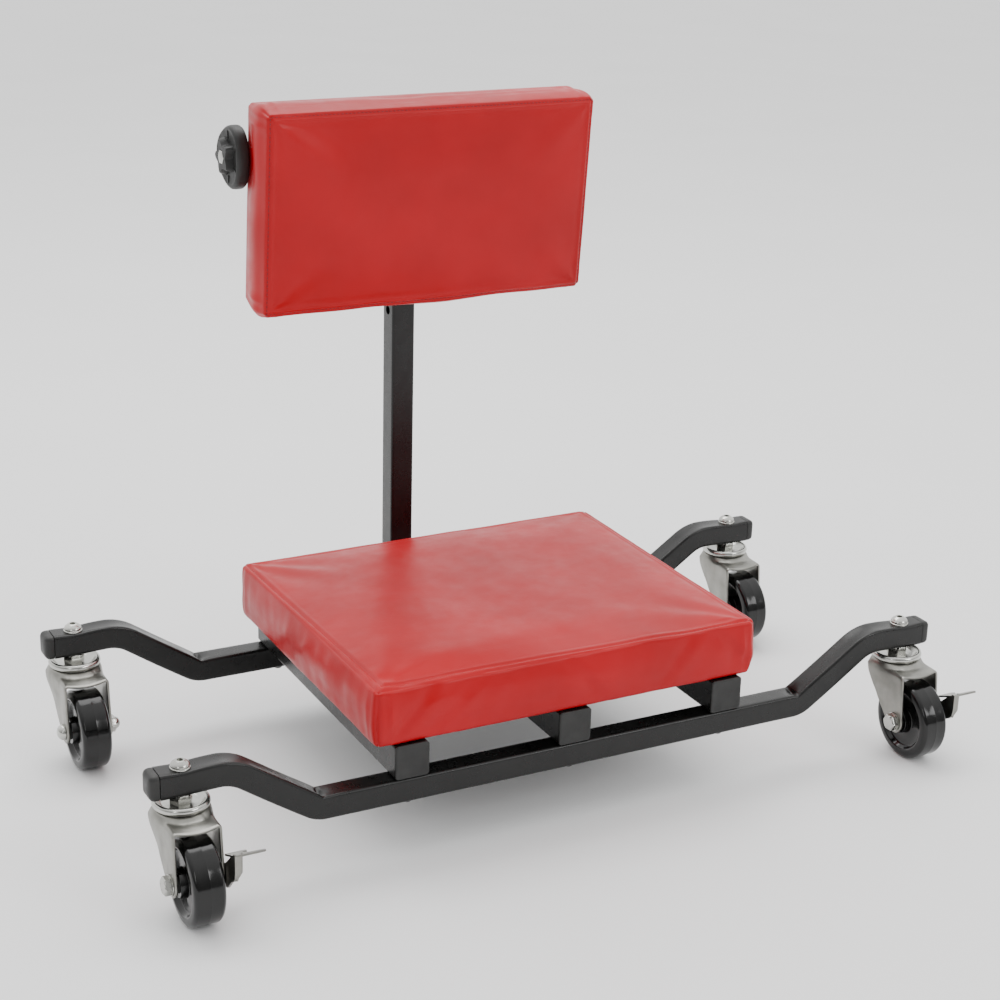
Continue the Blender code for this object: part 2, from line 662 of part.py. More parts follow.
def lever_outline():
    """Side view of the lever's plate as (y, z) points, from the axle."""
    points = []
    for degrees in (250, 290, 330, 10, 50):
        angle = math.radians(degrees)
        points.append((LEVER_HUB_RADIUS * math.cos(angle), LEVER_HUB_RADIUS * math.sin(angle)))
    front = -LEVER_REACH
    points += [(front * 0.55, LEVER_TOP * 0.62), (front * 0.8, LEVER_TOP - 0.002),
               (front, LEVER_TOP), (front, LEVER_LOW + 0.010), (front * 0.92, LEVER_LOW + 0.003),
               (front * 0.72, LEVER_LOW - 0.003), (front * 0.45, -0.006)]
    return points


def make_brake_lever(name, parent):
    """Stamped lever that turns on the axle beside the right leg."""
    face = LEG_FACE + GAP
    bm = bmesh.new()
    prism(bm, lever_outline(), frame_at((0, 0, 0), *ALONG_X), face, face + LEVER_PLATE)
    lever = add_object(name, bm, "zinc", parent)
    wall = bmesh.new()
    out = face + LEVER_WALL_OUT
    front = -LEVER_REACH
    shape = [(face, front + LEVER_PLATE), (face, front), (out - 0.003, front - 0.001),
             (out, front + 0.003), (out, front + 0.012), (out - LEVER_PLATE, front + 0.012),
             (out - LEVER_PLATE, front + LEVER_PLATE)]
    loft(wall, [(shape, LEVER_LOW + 0.006), (shape, LEVER_TOP)], Matrix())
    add_cutter(lever, name + "_wall", wall, "UNION")
    pedal = bmesh.new()
    tip = PEDAL_OUT - LEVER_PLATE
    depth = PEDAL_DEPTH
    shape = [(0, 0), (tip, 0), (tip, depth * 0.22), (tip - PEDAL_NOTCH * 1.4, depth * 0.32),
             (tip - PEDAL_NOTCH * 1.4, depth * 0.66), (tip - PEDAL_NOTCH, depth * 0.74),
             (tip - PEDAL_NOTCH, depth), (0, depth)]
    roll = Matrix.Rotation(-PEDAL_ROLL, 4, "X")
    place = Matrix.Translation((face + LEVER_PLATE / 2, front - 0.0005, LEVER_TOP - 0.001))
    prism(pedal, shape, place @ roll, 0, PEDAL_PLATE)
    add_cutter(lever, name + "_pedal", pedal, "UNION")
    hole = bmesh.new()
    drill(hole, AXLE_DIAMETER / 2 + GAP, (face, 0, 0), 4 * LEVER_PLATE, ALONG_X)
    add_cutter(lever, name + "_hole", hole)


def make_castor(where, x, y, braked, root):
    """One castor: fixed bolt and cup, swivelling fork, spinning wheel."""
    stem = (x, y, 0)
    make_castor_bolt("castor_bolt_" + where, stem, root)
    make_bearing_cup("bearing_cup_" + where, stem, root)
    swivel = link_object("swivel_" + where, None, root, stem)
    make_fork("fork_" + where, swivel)
    spin = link_object("spin_" + where, None, swivel, (0, -CASTOR_TRAIL, WHEEL_RADIUS))
    make_axle("axle_" + where, not braked, spin)
    make_axle_nut("axle_nut_" + where, braked, spin)
    make_wheel("wheel_" + where, spin)
    make_bush("bush_" + where, spin)
    if braked:
        make_brake_lever("brake_lever_" + where, spin)


# ================================================================ backrest
def post_hole_heights():
    """Heights of the adjusting holes in the post's left face."""
    return [POST_HOLE_LOWEST + POST_HOLE_PITCH * k for k in range(POST_HOLE_COUNT)]


def make_post(parent):
    """L-shaped tube: an arm in the cross tube and an upright with holes."""
    bm = bmesh.new()
    arm_end = CROSS_HALF - POST_PLUG_DEPTH
    corners = [(Vector((POST_X, arm_end, CROSS_Z)), 0),
               (Vector((POST_X, POST_Y, CROSS_Z)), POST_BEND_RADIUS),
               (Vector((POST_X, POST_Y, POST_TOP)), 0)]
    frames = sweep_frames(bent_path(corners, 5), Vector((1, 0, 0)))
    swept_tube(bm, frames, POST_SIZE, POST_WALL, POST_CORNER)
    post = add_object("back_post", bm, "black_paint", parent)
    holes = bmesh.new()
    for height in post_hole_heights():
        drill(holes, POST_HOLE / 2, (POST_X - POST_SIZE / 2, POST_Y, height), POST_SIZE / 2, ALONG_X)
    add_cutter(post, "back_post_holes", holes)


def knob_inner_x():
    """Inner face of the tilt knob, just clear of the pad's left side."""
    return BACK_FACE.x - BACK_WIDTH / 2 - KNOB_SIDE_GAP


def make_head(parent):
    """Sleeve on the post with a block that holds the tilt bar."""
    bm = bmesh.new()
    size = SLEEVE_SIZE
    ends = (Vector((POST_X, POST_Y, SLEEVE_BOTTOM)), Vector((POST_X, POST_Y, SLEEVE_TOP)))
    swept_tube(bm, sweep_frames(ends, Vector((1, 0, 0))), size, SLEEVE_WALL, SLEEVE_CORNER)
    head = add_object("back_head", bm, "black_paint", parent)
    block = bmesh.new()
    front = BAR_Y - BAR_DIAMETER / 2 - 0.0025
    back = POST_Y - size / 2 + SLEEVE_WALL / 2
    box(block, (POST_X - BLOCK_WIDTH / 2, front, BAR_Z - BLOCK_HEIGHT / 2),
        (POST_X + BLOCK_WIDTH / 2, back, BAR_Z + BLOCK_HEIGHT / 2))
    add_cutter(head, "back_head_block", block, "UNION")
    bar = bmesh.new()
    axis = frame_at((0, BAR_Y, BAR_Z), *ALONG_X)
    radius = BAR_DIAMETER / 2
    turned(bar, [(radius, knob_inner_x() + 0.0005), (radius, BAR_RIGHT)], axis, 18)
    add_cutter(head, "back_head_bar", bar, "UNION")
    socket = bmesh.new()
    drill(socket, KNOB_STUD / 2 + GAP, (knob_inner_x(), BAR_Y, BAR_Z), 2 * KNOB_STUD_LENGTH, ALONG_X)
    add_cutter(head, "back_head_socket", socket)
    hole = bmesh.new()
    pin_z = post_hole_heights()[PIN_HOLE_INDEX]
    left = POST_X - size / 2
    drill(hole, PIN_DIAMETER / 2 + GAP, (left, POST_Y, pin_z), 4 * SLEEVE_WALL, ALONG_X)
    add_cutter(head, "back_head_pin_hole", hole)


def make_height_pin(parent):
    """Height pin, drawn out just clear of the post; its frame is on its axis."""
    bm = bmesh.new()
    radius = PIN_DIAMETER / 2 - GAP
    face = -(SLEEVE_SIZE / 2 + GAP + PIN_TRAVEL)
    tip = -(POST_SIZE / 2 + RUNNING_GAP)
    knob = PIN_KNOB_RADIUS
    profile = [(knob * 0.8, face - PIN_KNOB_LENGTH), (knob, face - 0.8 * PIN_KNOB_LENGTH),
               (knob, face - 0.45 * PIN_KNOB_LENGTH), (knob * 0.62, face - 0.3 * PIN_KNOB_LENGTH),
               (knob * 0.62, face), (radius, face), (radius, tip)]
    turned(bm, profile, frame_at((0, 0, 0), *ALONG_X), 14)
    add_object("height_pin", bm, "black_plastic", parent)


def back_frame():
    """Frame of the backrest: u to the right, v up the board, w to the sitter."""
    lean = Matrix.Rotation(BACK_TILT, 3, "X")
    return frame_at(BACK_FACE, (1, 0, 0), lean @ Vector((0, 0, 1)))


def make_back_board(parent, pivot):
    """Board with two lugs that turn on the tilt bar."""
    frame = Matrix.Translation(-pivot) @ back_frame()
    bm = bmesh.new()
    outline = rounded_square(BACK_WIDTH / 2 - BACK_BOARD_INSET, BACK_HEIGHT / 2 - BACK_BOARD_INSET,
                             PAD_CORNER)
    near = -BACK_PAD - GAP
    prism(bm, outline, frame, near - BACK_BOARD, near)
    board = add_object("back_board", bm, "plywood", parent)
    lug_left = knob_inner_x() + WASHER_THICKNESS + 3 * GAP - pivot.x
    local = frame.inverted()
    for label, x in (("left", lug_left), ("right", LUG_RIGHT - pivot.x)):
        lug = bmesh.new()
        axis = local @ Vector((x, 0, 0))
        foot = near - BACK_BOARD / 2
        shape = [(axis.y + LUG_HEIGHT / 2, foot), (axis.y - LUG_HEIGHT / 2, foot)]
        for degrees in (180, 216, 252, 288, 324, 360):
            angle = math.radians(degrees)
            shape.append((axis.y + LUG_RADIUS * math.cos(angle), axis.z + LUG_RADIUS * math.sin(angle)))
        across = frame @ frame_at((axis.x, 0, 0), (0, 1, 0), (0, 0, 1))
        prism(lug, shape, across, 0, LUG_PLATE)
        add_cutter(board, "back_board_lug_" + label, lug, "UNION")
    hole = bmesh.new()
    drill(hole, BAR_DIAMETER / 2 + GAP, (0, 0, 0), BACK_WIDTH * 2, ALONG_X, 18)
    add_cutter(board, "back_board_holes", hole)


def make_back_cushion(parent, pivot):
    """Backrest pad in front of its board."""
    bm = bmesh.new()
    frame = Matrix.Translation(-pivot) @ back_frame() @ Matrix.Translation((0, 0, -BACK_PAD))
    soft_pad(bm, BACK_WIDTH, BACK_HEIGHT, BACK_PAD, frame)
    add_object("back_cushion", bm, "red_vinyl", parent)


def make_tilt_washer(parent):
    """Steel washer between the left lug and the knob."""
    bm = bmesh.new()
    start = knob_inner_x() + GAP
    turned_tube(bm, [(WASHER_RADIUS, start), (WASHER_RADIUS, start + WASHER_THICKNESS)],
                BAR_DIAMETER / 2 + GAP, frame_at((0, BAR_Y, BAR_Z), *ALONG_X), 16)
    add_object("tilt_washer", bm, "zinc", parent)


def make_tilt_knob(parent):
    """Three-lobed clamping knob with a boss and stud; its frame is on the bar's axis."""
    bm = bmesh.new()
    across = frame_at((0, 0, 0), *ALONG_X)

    def lobed(radius, steps=24):
        points = []
        for u, v in circle(radius, steps):
            angle = math.atan2(v, u)
            share = 1 + KNOB_LOBE_DEPTH * (math.cos(KNOB_LOBES * angle) - 1)
            points.append((u * share, v * share))
        return points

    width = KNOB_WIDTH
    boss = circle(KNOB_BOSS_RADIUS, 24)
    sections = [(boss, -width - KNOB_BOSS), (boss, -width),
                (lobed(KNOB_RADIUS * 0.93), -width), (lobed(KNOB_RADIUS), -width * 0.75),
                (lobed(KNOB_RADIUS), -width * 0.2), (lobed(KNOB_RADIUS * 0.94), 0.0)]
    stud = circle(KNOB_STUD / 2, 24)
    sections += [(stud, 0.0), (stud, KNOB_STUD_LENGTH)]
    loft(bm, sections, across)
    add_object("tilt_knob", bm, "black_plastic", parent)


def make_backrest(root):
    """Post, sliding head, height pin, tilting board and pad, tilt knob."""
    make_post(root)
    slide = link_object("height_slide", None, root)
    make_head(slide)
    make_tilt_washer(slide)
    pin = link_object("pin_slide", None, slide,
                      (POST_X, POST_Y, post_hole_heights()[PIN_HOLE_INDEX]))
    make_height_pin(pin)
    pivot = Vector((0, BAR_Y, BAR_Z))
    tilt = link_object("tilt_axis", None, slide, pivot)
    make_back_board(tilt, pivot)
    make_back_cushion(tilt, pivot)
    knob = link_object("knob_axis", None, slide, (knob_inner_x(), BAR_Y, BAR_Z))
    make_tilt_knob(knob)


# ================================================================ assembly
def centre_footprint(root):
    """Move the assembly so that its box stands centred on the origin."""
    bpy.context.view_layer.update()
    depsgraph = bpy.context.evaluated_depsgraph_get()
    low, high = Vector((1e9,) * 3), Vector((-1e9,) * 3)
    for item in bpy.data.objects:
        if item.type != "MESH" or item.hide_render:
            continue
        seen = item.evaluated_get(depsgraph)
        for vertex in seen.data.vertices:
            place = seen.matrix_world @ vertex.co
            low = Vector(map(min, low, place))
            high = Vector(map(max, high, place))
    root.location = (-(low.x + high.x) / 2, -(low.y + high.y) / 2, -low.z)


def main():
    """Clear the scene and build the creeper seat."""
    for item in list(bpy.data.objects):
        bpy.data.objects.remove(item, do_unlink=True)
    root = link_object("creeper_seat", None, None)
    make_frame(root)
    make_seat(root)
    half_x, half_y = STEM_SPACING_X / 2, RAIL_SPACING_Y / 2
    for where, x, y, braked in (("near_left", -half_x, -half_y, True),
                                ("near_right", half_x, -half_y, True),
                                ("far_left", -half_x, half_y, False),
                                ("far_right", half_x, half_y, False)):
        make_castor(where, x, y, braked, root)
    make_backrest(root)
    centre_footprint(root)


main()
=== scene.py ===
"""Looks of a low garage creeper seat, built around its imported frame.

Each sub-assembly is a class that draws its pieces in the frame's own place, dresses
them and hands them to the body that they move with.  Units are metres.
"""

import json
import logging
import math
from dataclasses import dataclass, field
from enum import Enum
from typing import Callable, Iterator, Sequence

import bmesh
import bpy
from mathutils import Matrix, Vector, kdtree, noise


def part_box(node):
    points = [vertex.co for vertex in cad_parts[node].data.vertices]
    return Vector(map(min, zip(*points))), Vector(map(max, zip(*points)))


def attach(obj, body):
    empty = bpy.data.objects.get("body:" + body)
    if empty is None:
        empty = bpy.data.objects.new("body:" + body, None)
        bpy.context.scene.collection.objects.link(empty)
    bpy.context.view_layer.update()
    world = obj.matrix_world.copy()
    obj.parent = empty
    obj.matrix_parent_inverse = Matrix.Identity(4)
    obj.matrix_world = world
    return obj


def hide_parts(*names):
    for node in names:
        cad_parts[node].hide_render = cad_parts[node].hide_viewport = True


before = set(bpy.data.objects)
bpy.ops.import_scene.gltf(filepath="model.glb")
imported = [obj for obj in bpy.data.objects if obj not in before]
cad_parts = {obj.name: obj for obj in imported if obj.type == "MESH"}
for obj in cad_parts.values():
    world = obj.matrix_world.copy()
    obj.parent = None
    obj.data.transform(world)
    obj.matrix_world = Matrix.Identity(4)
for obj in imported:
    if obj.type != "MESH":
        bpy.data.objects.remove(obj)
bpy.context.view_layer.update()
LOG = logging.getLogger("creeper")
Outline = list[tuple[float, float]]
Colour = tuple[float, float, float]


# ================================================================ small sums
def eased(share: float) -> float:
    """Share from 0 to 1 with soft ends."""
    held = min(max(share, 0.0), 1.0)
    return held * held * (3 - 2 * held)


def hump(distance: float, width: float) -> float:
    """Bell that is 1 at no distance and fades over the width."""
    return math.exp(-(distance / width) ** 2)


def between(low: float, high: float, count: int) -> list[float]:
    """Evenly spaced values from low to high, both included."""
    return [low + (high - low) * k / count for k in range(count + 1)]


def axes_at(origin: Vector, u_axis: Sequence[float], v_axis: Sequence[float]) -> Matrix:
    """Place whose third axis is u x v.

    Args:
        origin: the place's origin.
        u_axis: direction of the first coordinate.
        v_axis: direction of the second coordinate.

    Returns:
        The matrix from (u, v, w) to the frame.
    """
    u_axis = Vector(u_axis).normalized()
    v_axis = Vector(v_axis).normalized()
    turn = Matrix((u_axis, v_axis, u_axis.cross(v_axis))).transposed().to_4x4()
    return Matrix.Translation(origin) @ turn


def along_x(origin: Vector) -> Matrix:
    """Place whose third axis runs to the right."""
    return axes_at(origin, (0, 1, 0), (0, 0, 1))


def circle(radius: float, steps: int) -> Outline:
    """Points round a circle."""
    turn = 2 * math.pi / steps
    return [(radius * math.cos(turn * k), radius * math.sin(turn * k)) for k in range(steps)]


def polygon(flats: float, sides: int, steps: int) -> Outline:
    """Regular polygon drawn with evenly turned points, so that it joins a circle.

    Args:
        flats: size across the flats.
        sides: how many flats it has.
        steps: how many points it is drawn with.

    Returns:
        The outline.
    """
    wedge = 2 * math.pi / sides
    points = []
    for k in range(steps):
        angle = 2 * math.pi * k / steps
        reach = flats / 2 / math.cos((angle % wedge) - wedge / 2)
        points.append((reach * math.cos(angle), reach * math.sin(angle)))
    return points


def soft_square(half_u: float, half_v: float, corner: float, turns: int = 4,
                splits: int = 1) -> Outline:
    """Rectangle with round corners and evenly split sides.

    Args:
        half_u: half its size along u.
        half_v: half its size along v.
        corner: radius of its corners.
        turns: steps round each corner.
        splits: parts that each side is split into.

    Returns:
        The outline, anticlockwise.
    """
    hooks = []
    for quarter, (su, sv) in enumerate(((1, 1), (-1, 1), (-1, -1), (1, -1))):
        arc = []
        for step in range(turns + 1):
            angle = math.pi / 2 * (quarter + step / turns)
            arc.append((su * (half_u - corner) + corner * math.cos(angle),
                        sv * (half_v - corner) + corner * math.sin(angle)))
        hooks.append(arc)
    points = []
    for arc, following in zip(hooks, hooks[1:] + hooks[:1]):
        points += arc
        last, first = arc[-1], following[0]
        for k in range(1, splits):
            share = k / splits
            points.append((last[0] + (first[0] - last[0]) * share,
                           last[1] + (first[1] - last[1]) * share))
    return points


# ================================================================ finishes
class Bench:
    """Node bench of one material."""

    def __init__(self, name: str) -> None:
        """Start a material with a Principled shader."""
        self.material = bpy.data.materials.new(name)
        self.material.use_nodes = True
        self.tree = self.material.node_tree
        self.shader = self.tree.nodes["Principled BSDF"]
        self.place = self.tree.nodes.new("ShaderNodeTexCoord").outputs["Object"]

    def set(self, **values: float) -> None:
        """Set the shader's own sockets; underscores stand for blanks."""
        for label, value in values.items():
            self.shader.inputs[label.replace("_", " ")].default_value = value

    def grain(self, scale: float, detail: float = 3.0, stretch: Sequence[float] = (1, 1, 1),
              roughness: float = 0.5) -> bpy.types.NodeSocket:
        """Noise on the object's own coordinates.

        Args:
            scale: cells to the metre.
            detail: octaves of finer noise.
            stretch: how each axis is squeezed.
            roughness: share that the finer octaves keep.

        Returns:
            The noise's value socket.
        """
        held = self.place
        if tuple(stretch) != (1, 1, 1):
            mapping = self.tree.nodes.new("ShaderNodeMapping")
            mapping.inputs["Scale"].default_value = stretch
            self.tree.links.new(held, mapping.inputs["Vector"])
            held = mapping.outputs["Vector"]
        cells = self.tree.nodes.new("ShaderNodeTexNoise")
        cells.inputs["Scale"].default_value = scale
        cells.inputs["Detail"].default_value = detail
        cells.inputs["Roughness"].default_value = roughness
        self.tree.links.new(held, cells.inputs["Vector"])
        return cells.outputs["Fac"]

    def pebbles(self, scale: float) -> bpy.types.NodeSocket:
        """Rounded cells, as on embossed vinyl."""
        cells = self.tree.nodes.new("ShaderNodeTexVoronoi")
        cells.feature = "SMOOTH_F1"
        cells.inputs["Scale"].default_value = scale
        self.tree.links.new(self.place, cells.inputs["Vector"])
        return cells.outputs["Distance"]

    def tint(self, value: bpy.types.NodeSocket, low: Colour, high: Colour,
             span: tuple[float, float] = (0.3, 0.7)) -> None:
        """Colour the shader between two tones as a value goes across its span."""
        ramp = self.tree.nodes.new("ShaderNodeValToRGB")
        ramp.color_ramp.elements[0].position = span[0]
        ramp.color_ramp.elements[0].color = (*low, 1.0)
        ramp.color_ramp.elements[1].position = span[1]
        ramp.color_ramp.elements[1].color = (*high, 1.0)
        self.tree.links.new(value, ramp.inputs["Fac"])
        self.tree.links.new(ramp.outputs["Color"], self.shader.inputs["Base Color"])

    def gloss(self, value: bpy.types.NodeSocket, low: float, high: float) -> None:
        """Vary the shader's roughness between two values."""
        scaled = self.tree.nodes.new("ShaderNodeMapRange")
        scaled.inputs["From Min"].default_value = 0.3
        scaled.inputs["From Max"].default_value = 0.7
        scaled.inputs["To Min"].default_value = low
        scaled.inputs["To Max"].default_value = high
        self.tree.links.new(value, scaled.inputs["Value"])
        self.tree.links.new(scaled.outputs["Result"], self.shader.inputs["Roughness"])

    def relief(self, value: bpy.types.NodeSocket, depth: float, strength: float = 1.0) -> None:
        """Add a layer of bump under those that are there already."""
        bump = self.tree.nodes.new("ShaderNodeBump")
        bump.inputs["Distance"].default_value = depth
        bump.inputs["Strength"].default_value = strength
        self.tree.links.new(value, bump.inputs["Height"])
        target = self.shader.inputs["Normal"]
        if target.is_linked:
            self.tree.links.new(target.links[0].from_socket, bump.inputs["Normal"])
        self.tree.links.new(bump.outputs["Normal"], target)


@dataclass(frozen=True)
class Paint:
    """Black powder coat with a faint orange peel."""
    dark: Colour = (0.0032, 0.0032, 0.0030)
    light: Colour = (0.0070, 0.0070, 0.0065)
    smooth: float = 0.24
    rough: float = 0.34
    shine: float = 0.34

    def material(self, name: str) -> bpy.types.Material:
        """Make the coat's material."""
        bench = Bench(name)
        bench.set(IOR=1.50, Specular_IOR_Level=self.shine)
        bench.tint(bench.grain(35, 5), self.dark, self.light)
        bench.gloss(bench.grain(90, 4), self.smooth, self.rough)
        bench.relief(bench.grain(520, 2), 0.00006, 0.55)
        bench.relief(bench.grain(2400, 2), 0.00002, 0.5)
        return bench.material


@dataclass(frozen=True)
class Moulded:
    """Moulded plastic with a fine eroded texture."""
    dark: Colour = (0.012, 0.012, 0.0115)
    light: Colour = (0.021, 0.021, 0.0200)
    smooth: float = 0.42
    rough: float = 0.55
    texture: float = 0.00005
    shine: float = 0.40

    def material(self, name: str) -> bpy.types.Material:
        """Make the plastic's material."""
        bench = Bench(name)
        bench.set(IOR=1.49, Specular_IOR_Level=self.shine)
        bench.tint(bench.grain(60, 4), self.dark, self.light)
        bench.gloss(bench.grain(140, 3), self.smooth, self.rough)
        bench.relief(bench.grain(1900, 3), self.texture, 0.7)
        return bench.material


@dataclass(frozen=True)
class Vinyl:
    """Soft red vinyl with an embossed hide grain and fine stretch creases."""
    dark: Colour = (0.350, 0.0002, 0.0030)
    light: Colour = (0.440, 0.0006, 0.0060)
    smooth: float = 0.32
    rough: float = 0.42

    def material(self, name: str) -> bpy.types.Material:
        """Make the vinyl's material."""
        bench = Bench(name)
        bench.set(IOR=1.48, Specular_IOR_Level=0.26)
        bench.tint(bench.grain(11, 5), self.dark, self.light)
        bench.gloss(bench.grain(70, 5), self.smooth, self.rough)
        bench.relief(bench.pebbles(1150), 0.00010, 0.40)
        bench.relief(bench.grain(620, 4), 0.00012, 0.30)
        bench.relief(bench.grain(26, 4, (1, 1, 0.35)), 0.0016, 0.16)
        return bench.material


@dataclass(frozen=True)
class Plated:
    """Zinc-plated pressed steel with drawing marks and faint blotches."""
    # The default tones are kept dark as painted shade, so the pressed parts look as dark as the dark surroundings
    # that they reflect.
    dark: Colour = (0.22, 0.218, 0.198)
    light: Colour = (0.33, 0.325, 0.300)
    smooth: float = 0.30
    rough: float = 0.42

    def material(self, name: str) -> bpy.types.Material:
        """Make the plating's material."""
        bench = Bench(name)
        bench.set(Metallic=1.0)
        bench.tint(bench.grain(48, 5), self.dark, self.light)
        bench.gloss(bench.grain(160, 4, (1, 1, 0.15)), self.smooth, self.rough)
        bench.relief(bench.grain(900, 2, (1, 1, 0.12)), 0.00002, 0.45)
        bench.relief(bench.grain(75, 3), 0.00018, 0.20)
        return bench.material


@dataclass(frozen=True)
class Ply:
    """Stained board with long grain."""
    dark: Colour = (0.040, 0.026, 0.016)
    light: Colour = (0.120, 0.080, 0.050)

    def material(self, name: str) -> bpy.types.Material:
        """Make the board's material."""
        bench = Bench(name)
        bench.set(Roughness=0.78)
        fibres = bench.grain(120, 6, (0.06, 1, 1), 0.6)
        bench.tint(fibres, self.dark, self.light)
        bench.relief(fibres, 0.0003, 0.5)
        return bench.material


@dataclass(frozen=True)
class Cloth:
    """Thread or felted lining, with its fibres as a fine relief."""
    dark: Colour
    light: Colour
    fibre: float = 1800
    depth: float = 0.0002

    def material(self, name: str) -> bpy.types.Material:
        """Make the cloth's material."""
        bench = Bench(name)
        bench.set(Roughness=0.85, Sheen_Weight=0.25, Sheen_Roughness=0.5)
        bench.tint(bench.grain(self.fibre / 3, 4), self.dark, self.light)
        bench.relief(bench.grain(self.fibre, 4), self.depth, 0.6)
        return bench.material


class Finish(Enum):
    """Every finish on the creeper, by the record's slot where it has one."""
    PAINT = ("black_paint", Paint())
    PLASTIC = ("black_plastic", Moulded())
    VINYL = ("red_vinyl", Vinyl())
    PLY = ("plywood", Ply())
    ZINC = ("zinc", Plated())
    # Painted highlight: a lighter copy of the zinc plating for bolts, cup, axles, nuts and screws, which also
    # take the zinc slot. Its lower roughness makes it shinier as well.
    BRIGHT = ("zinc_bright", Plated((0.40, 0.40, 0.375), (0.56, 0.56, 0.53), 0.15, 0.26))
    WHEEL = ("black_wheel", Moulded((0.0028, 0.0028, 0.0028), (0.0050, 0.0050, 0.0048),
                                    0.10, 0.17, 0.000012, 0.42))
    NYLON = ("bush_nylon", Moulded((0.030, 0.030, 0.030), (0.046, 0.046, 0.044)))
    THREAD = ("red_thread", Cloth((0.120, 0.004, 0.008), (0.220, 0.008, 0.014)))
    LINING = ("black_lining", Cloth((0.008, 0.008, 0.008), (0.022, 0.022, 0.021), 900, 0.0005))

    @property
    def material(self) -> bpy.types.Material:
        """The finish's material, made on its first use."""
        name, maker = self.value
        return bpy.data.materials.get("finish_" + name) or maker.material("finish_" + name)


# ================================================================ mesh work
class Draft:
    """A mesh while it is being drawn."""

    def __init__(self) -> None:
        """Start with an empty mesh."""
        self.bm = bmesh.new()

    def ring(self, points: Sequence[Vector]) -> list[bmesh.types.BMVert]:
        """Add one vertex for each point."""
        return [self.bm.verts.new(point) for point in points]

    def band(self, first: list, second: list, closed: bool = True) -> None:
        """Join two rings of equal count with quads."""
        count = len(first)
        for k in range(count if closed else count - 1):
            nxt = (k + 1) % count
            self.bm.faces.new((first[k], first[nxt], second[nxt], second[k]))

    def loft(self, rings: Sequence[Sequence[Vector]], looped: bool = False) -> "Draft":
        """Skin a row of rings.

        Args:
            rings: the sections, each a row of points of equal count.
            looped: whether the last section joins the first, as in a bored ring.

        Returns:
            This draft.
        """
        made = [self.ring(points) for points in rings]
        for first, second in zip(made, made[1:] + (made[:1] if looped else [])):
            self.band(first, second)
        if not looped:
            for end in (made[0][::-1], made[-1]):
                self.bm.faces.new(end)
        return self

    def sections(self, shapes: Sequence[tuple[Outline, float]], place: Matrix,
                 looped: bool = False) -> "Draft":
        """Skin (outline, offset) sections along a place's third axis."""
        return self.loft([[place @ Vector((u, v, w)) for u, v in outline]
                          for outline, w in shapes], looped)

    def turned(self, profile: Sequence[tuple[float, float]], place: Matrix, steps: int = 64,
               bore: float = 0.0) -> "Draft":
        """Turn (radius, offset) pairs about a place's third axis.

        Args:
            profile: the outer profile.
            place: where the axis is.
            steps: steps round the turn.
            bore: radius of a hole right through, or 0.

        Returns:
            This draft.
        """
        pairs = list(profile)
        if bore:
            pairs = [(bore, pairs[0][1]), *pairs, (bore, pairs[-1][1])]
        return self.sections([(circle(radius, steps), w) for radius, w in pairs], place, bool(bore))

    def prism(self, outline: Outline, place: Matrix, start: float, end: float) -> "Draft":
        """Extrude an outline between two offsets."""
        return self.sections([(outline, start), (outline, end)], place)

    def block(self, low: Sequence[float], high: Sequence[float]) -> "Draft":
        """Add a box between two corners."""
        half = [(b - a) / 2 for a, b in zip(low, high)]
        middle = Vector([(a + b) / 2 for a, b in zip(low, high)])
        corners = [(half[0], half[1]), (-half[0], half[1]), (-half[0], -half[1]),
                   (half[0], -half[1])]
        return self.prism(corners, Matrix.Translation(middle), -half[2], half[2])

    def piece(self, name: str, finish: Finish, bevel: float = 0.0, segments: int = 2,
              wall: float = 0.0, subdivide: int = 0, sharp: float = 42.0) -> bpy.types.Object:
        """Turn the drawing into a finished plain mesh.

        Args:
            name: the piece's name.
            finish: what it is finished with.
            bevel: width of the bevel on its sharp edges, or 0.
            segments: steps across the bevel.
            wall: thickness that an open sheet is given, or 0.
            subdivide: levels of subdivision.
            sharp: edges that turn more than this many degrees are shaded sharp.

        Returns:
            The piece, at the origin.
        """
        bmesh.ops.remove_doubles(self.bm, verts=self.bm.verts, dist=1e-6)
        bmesh.ops.recalc_face_normals(self.bm, faces=self.bm.faces)
        mesh = bpy.data.meshes.new(name)
        self.bm.to_mesh(mesh)
        self.bm.free()
        mesh.shade_smooth()
        mesh.materials.append(finish.material)
        made = bpy.data.objects.new(name, mesh)
        bpy.context.scene.collection.objects.link(made)
        if wall:
            solid = made.modifiers.new("wall", "SOLIDIFY")
            solid.thickness = wall
            solid.offset = -1.0
            solid.use_even_offset = True
            solid.edge_crease_rim = 0.6
        if subdivide:
            smooth = made.modifiers.new("smooth", "SUBSURF")
            smooth.levels = smooth.render_levels = subdivide
        if bevel:
            eased_edges = made.modifiers.new("edges", "BEVEL")
            eased_edges.width = bevel
            eased_edges.segments = segments
            eased_edges.limit_method = "ANGLE"
            eased_edges.angle_limit = math.radians(30)
        if bevel or wall or subdivide:
            settle(made)
        shade(made, sharp)
        return made


def settle(piece: bpy.types.Object) -> bpy.types.Object:
    """Replace a piece's mesh with what its modifiers make of it."""
    bpy.context.view_layer.update()
    depsgraph = bpy.context.evaluated_depsgraph_get()
    mesh = bpy.data.meshes.new_from_object(piece.evaluated_get(depsgraph), depsgraph=depsgraph)
    piece.modifiers.clear()
    old = piece.data
    piece.data = mesh
    bpy.data.meshes.remove(old)
    mesh.name = piece.name
    return piece


def shade(piece: bpy.types.Object, sharp: float = 42.0) -> None:
    """Shade a piece smooth, with its flat faces kept flat."""
    piece.data.shade_smooth()
    piece.data.set_sharp_from_angle(angle=math.radians(sharp))
    weighted = piece.modifiers.new("weighted", "WEIGHTED_NORMAL")
    weighted.keep_sharp = True
    settle(piece)


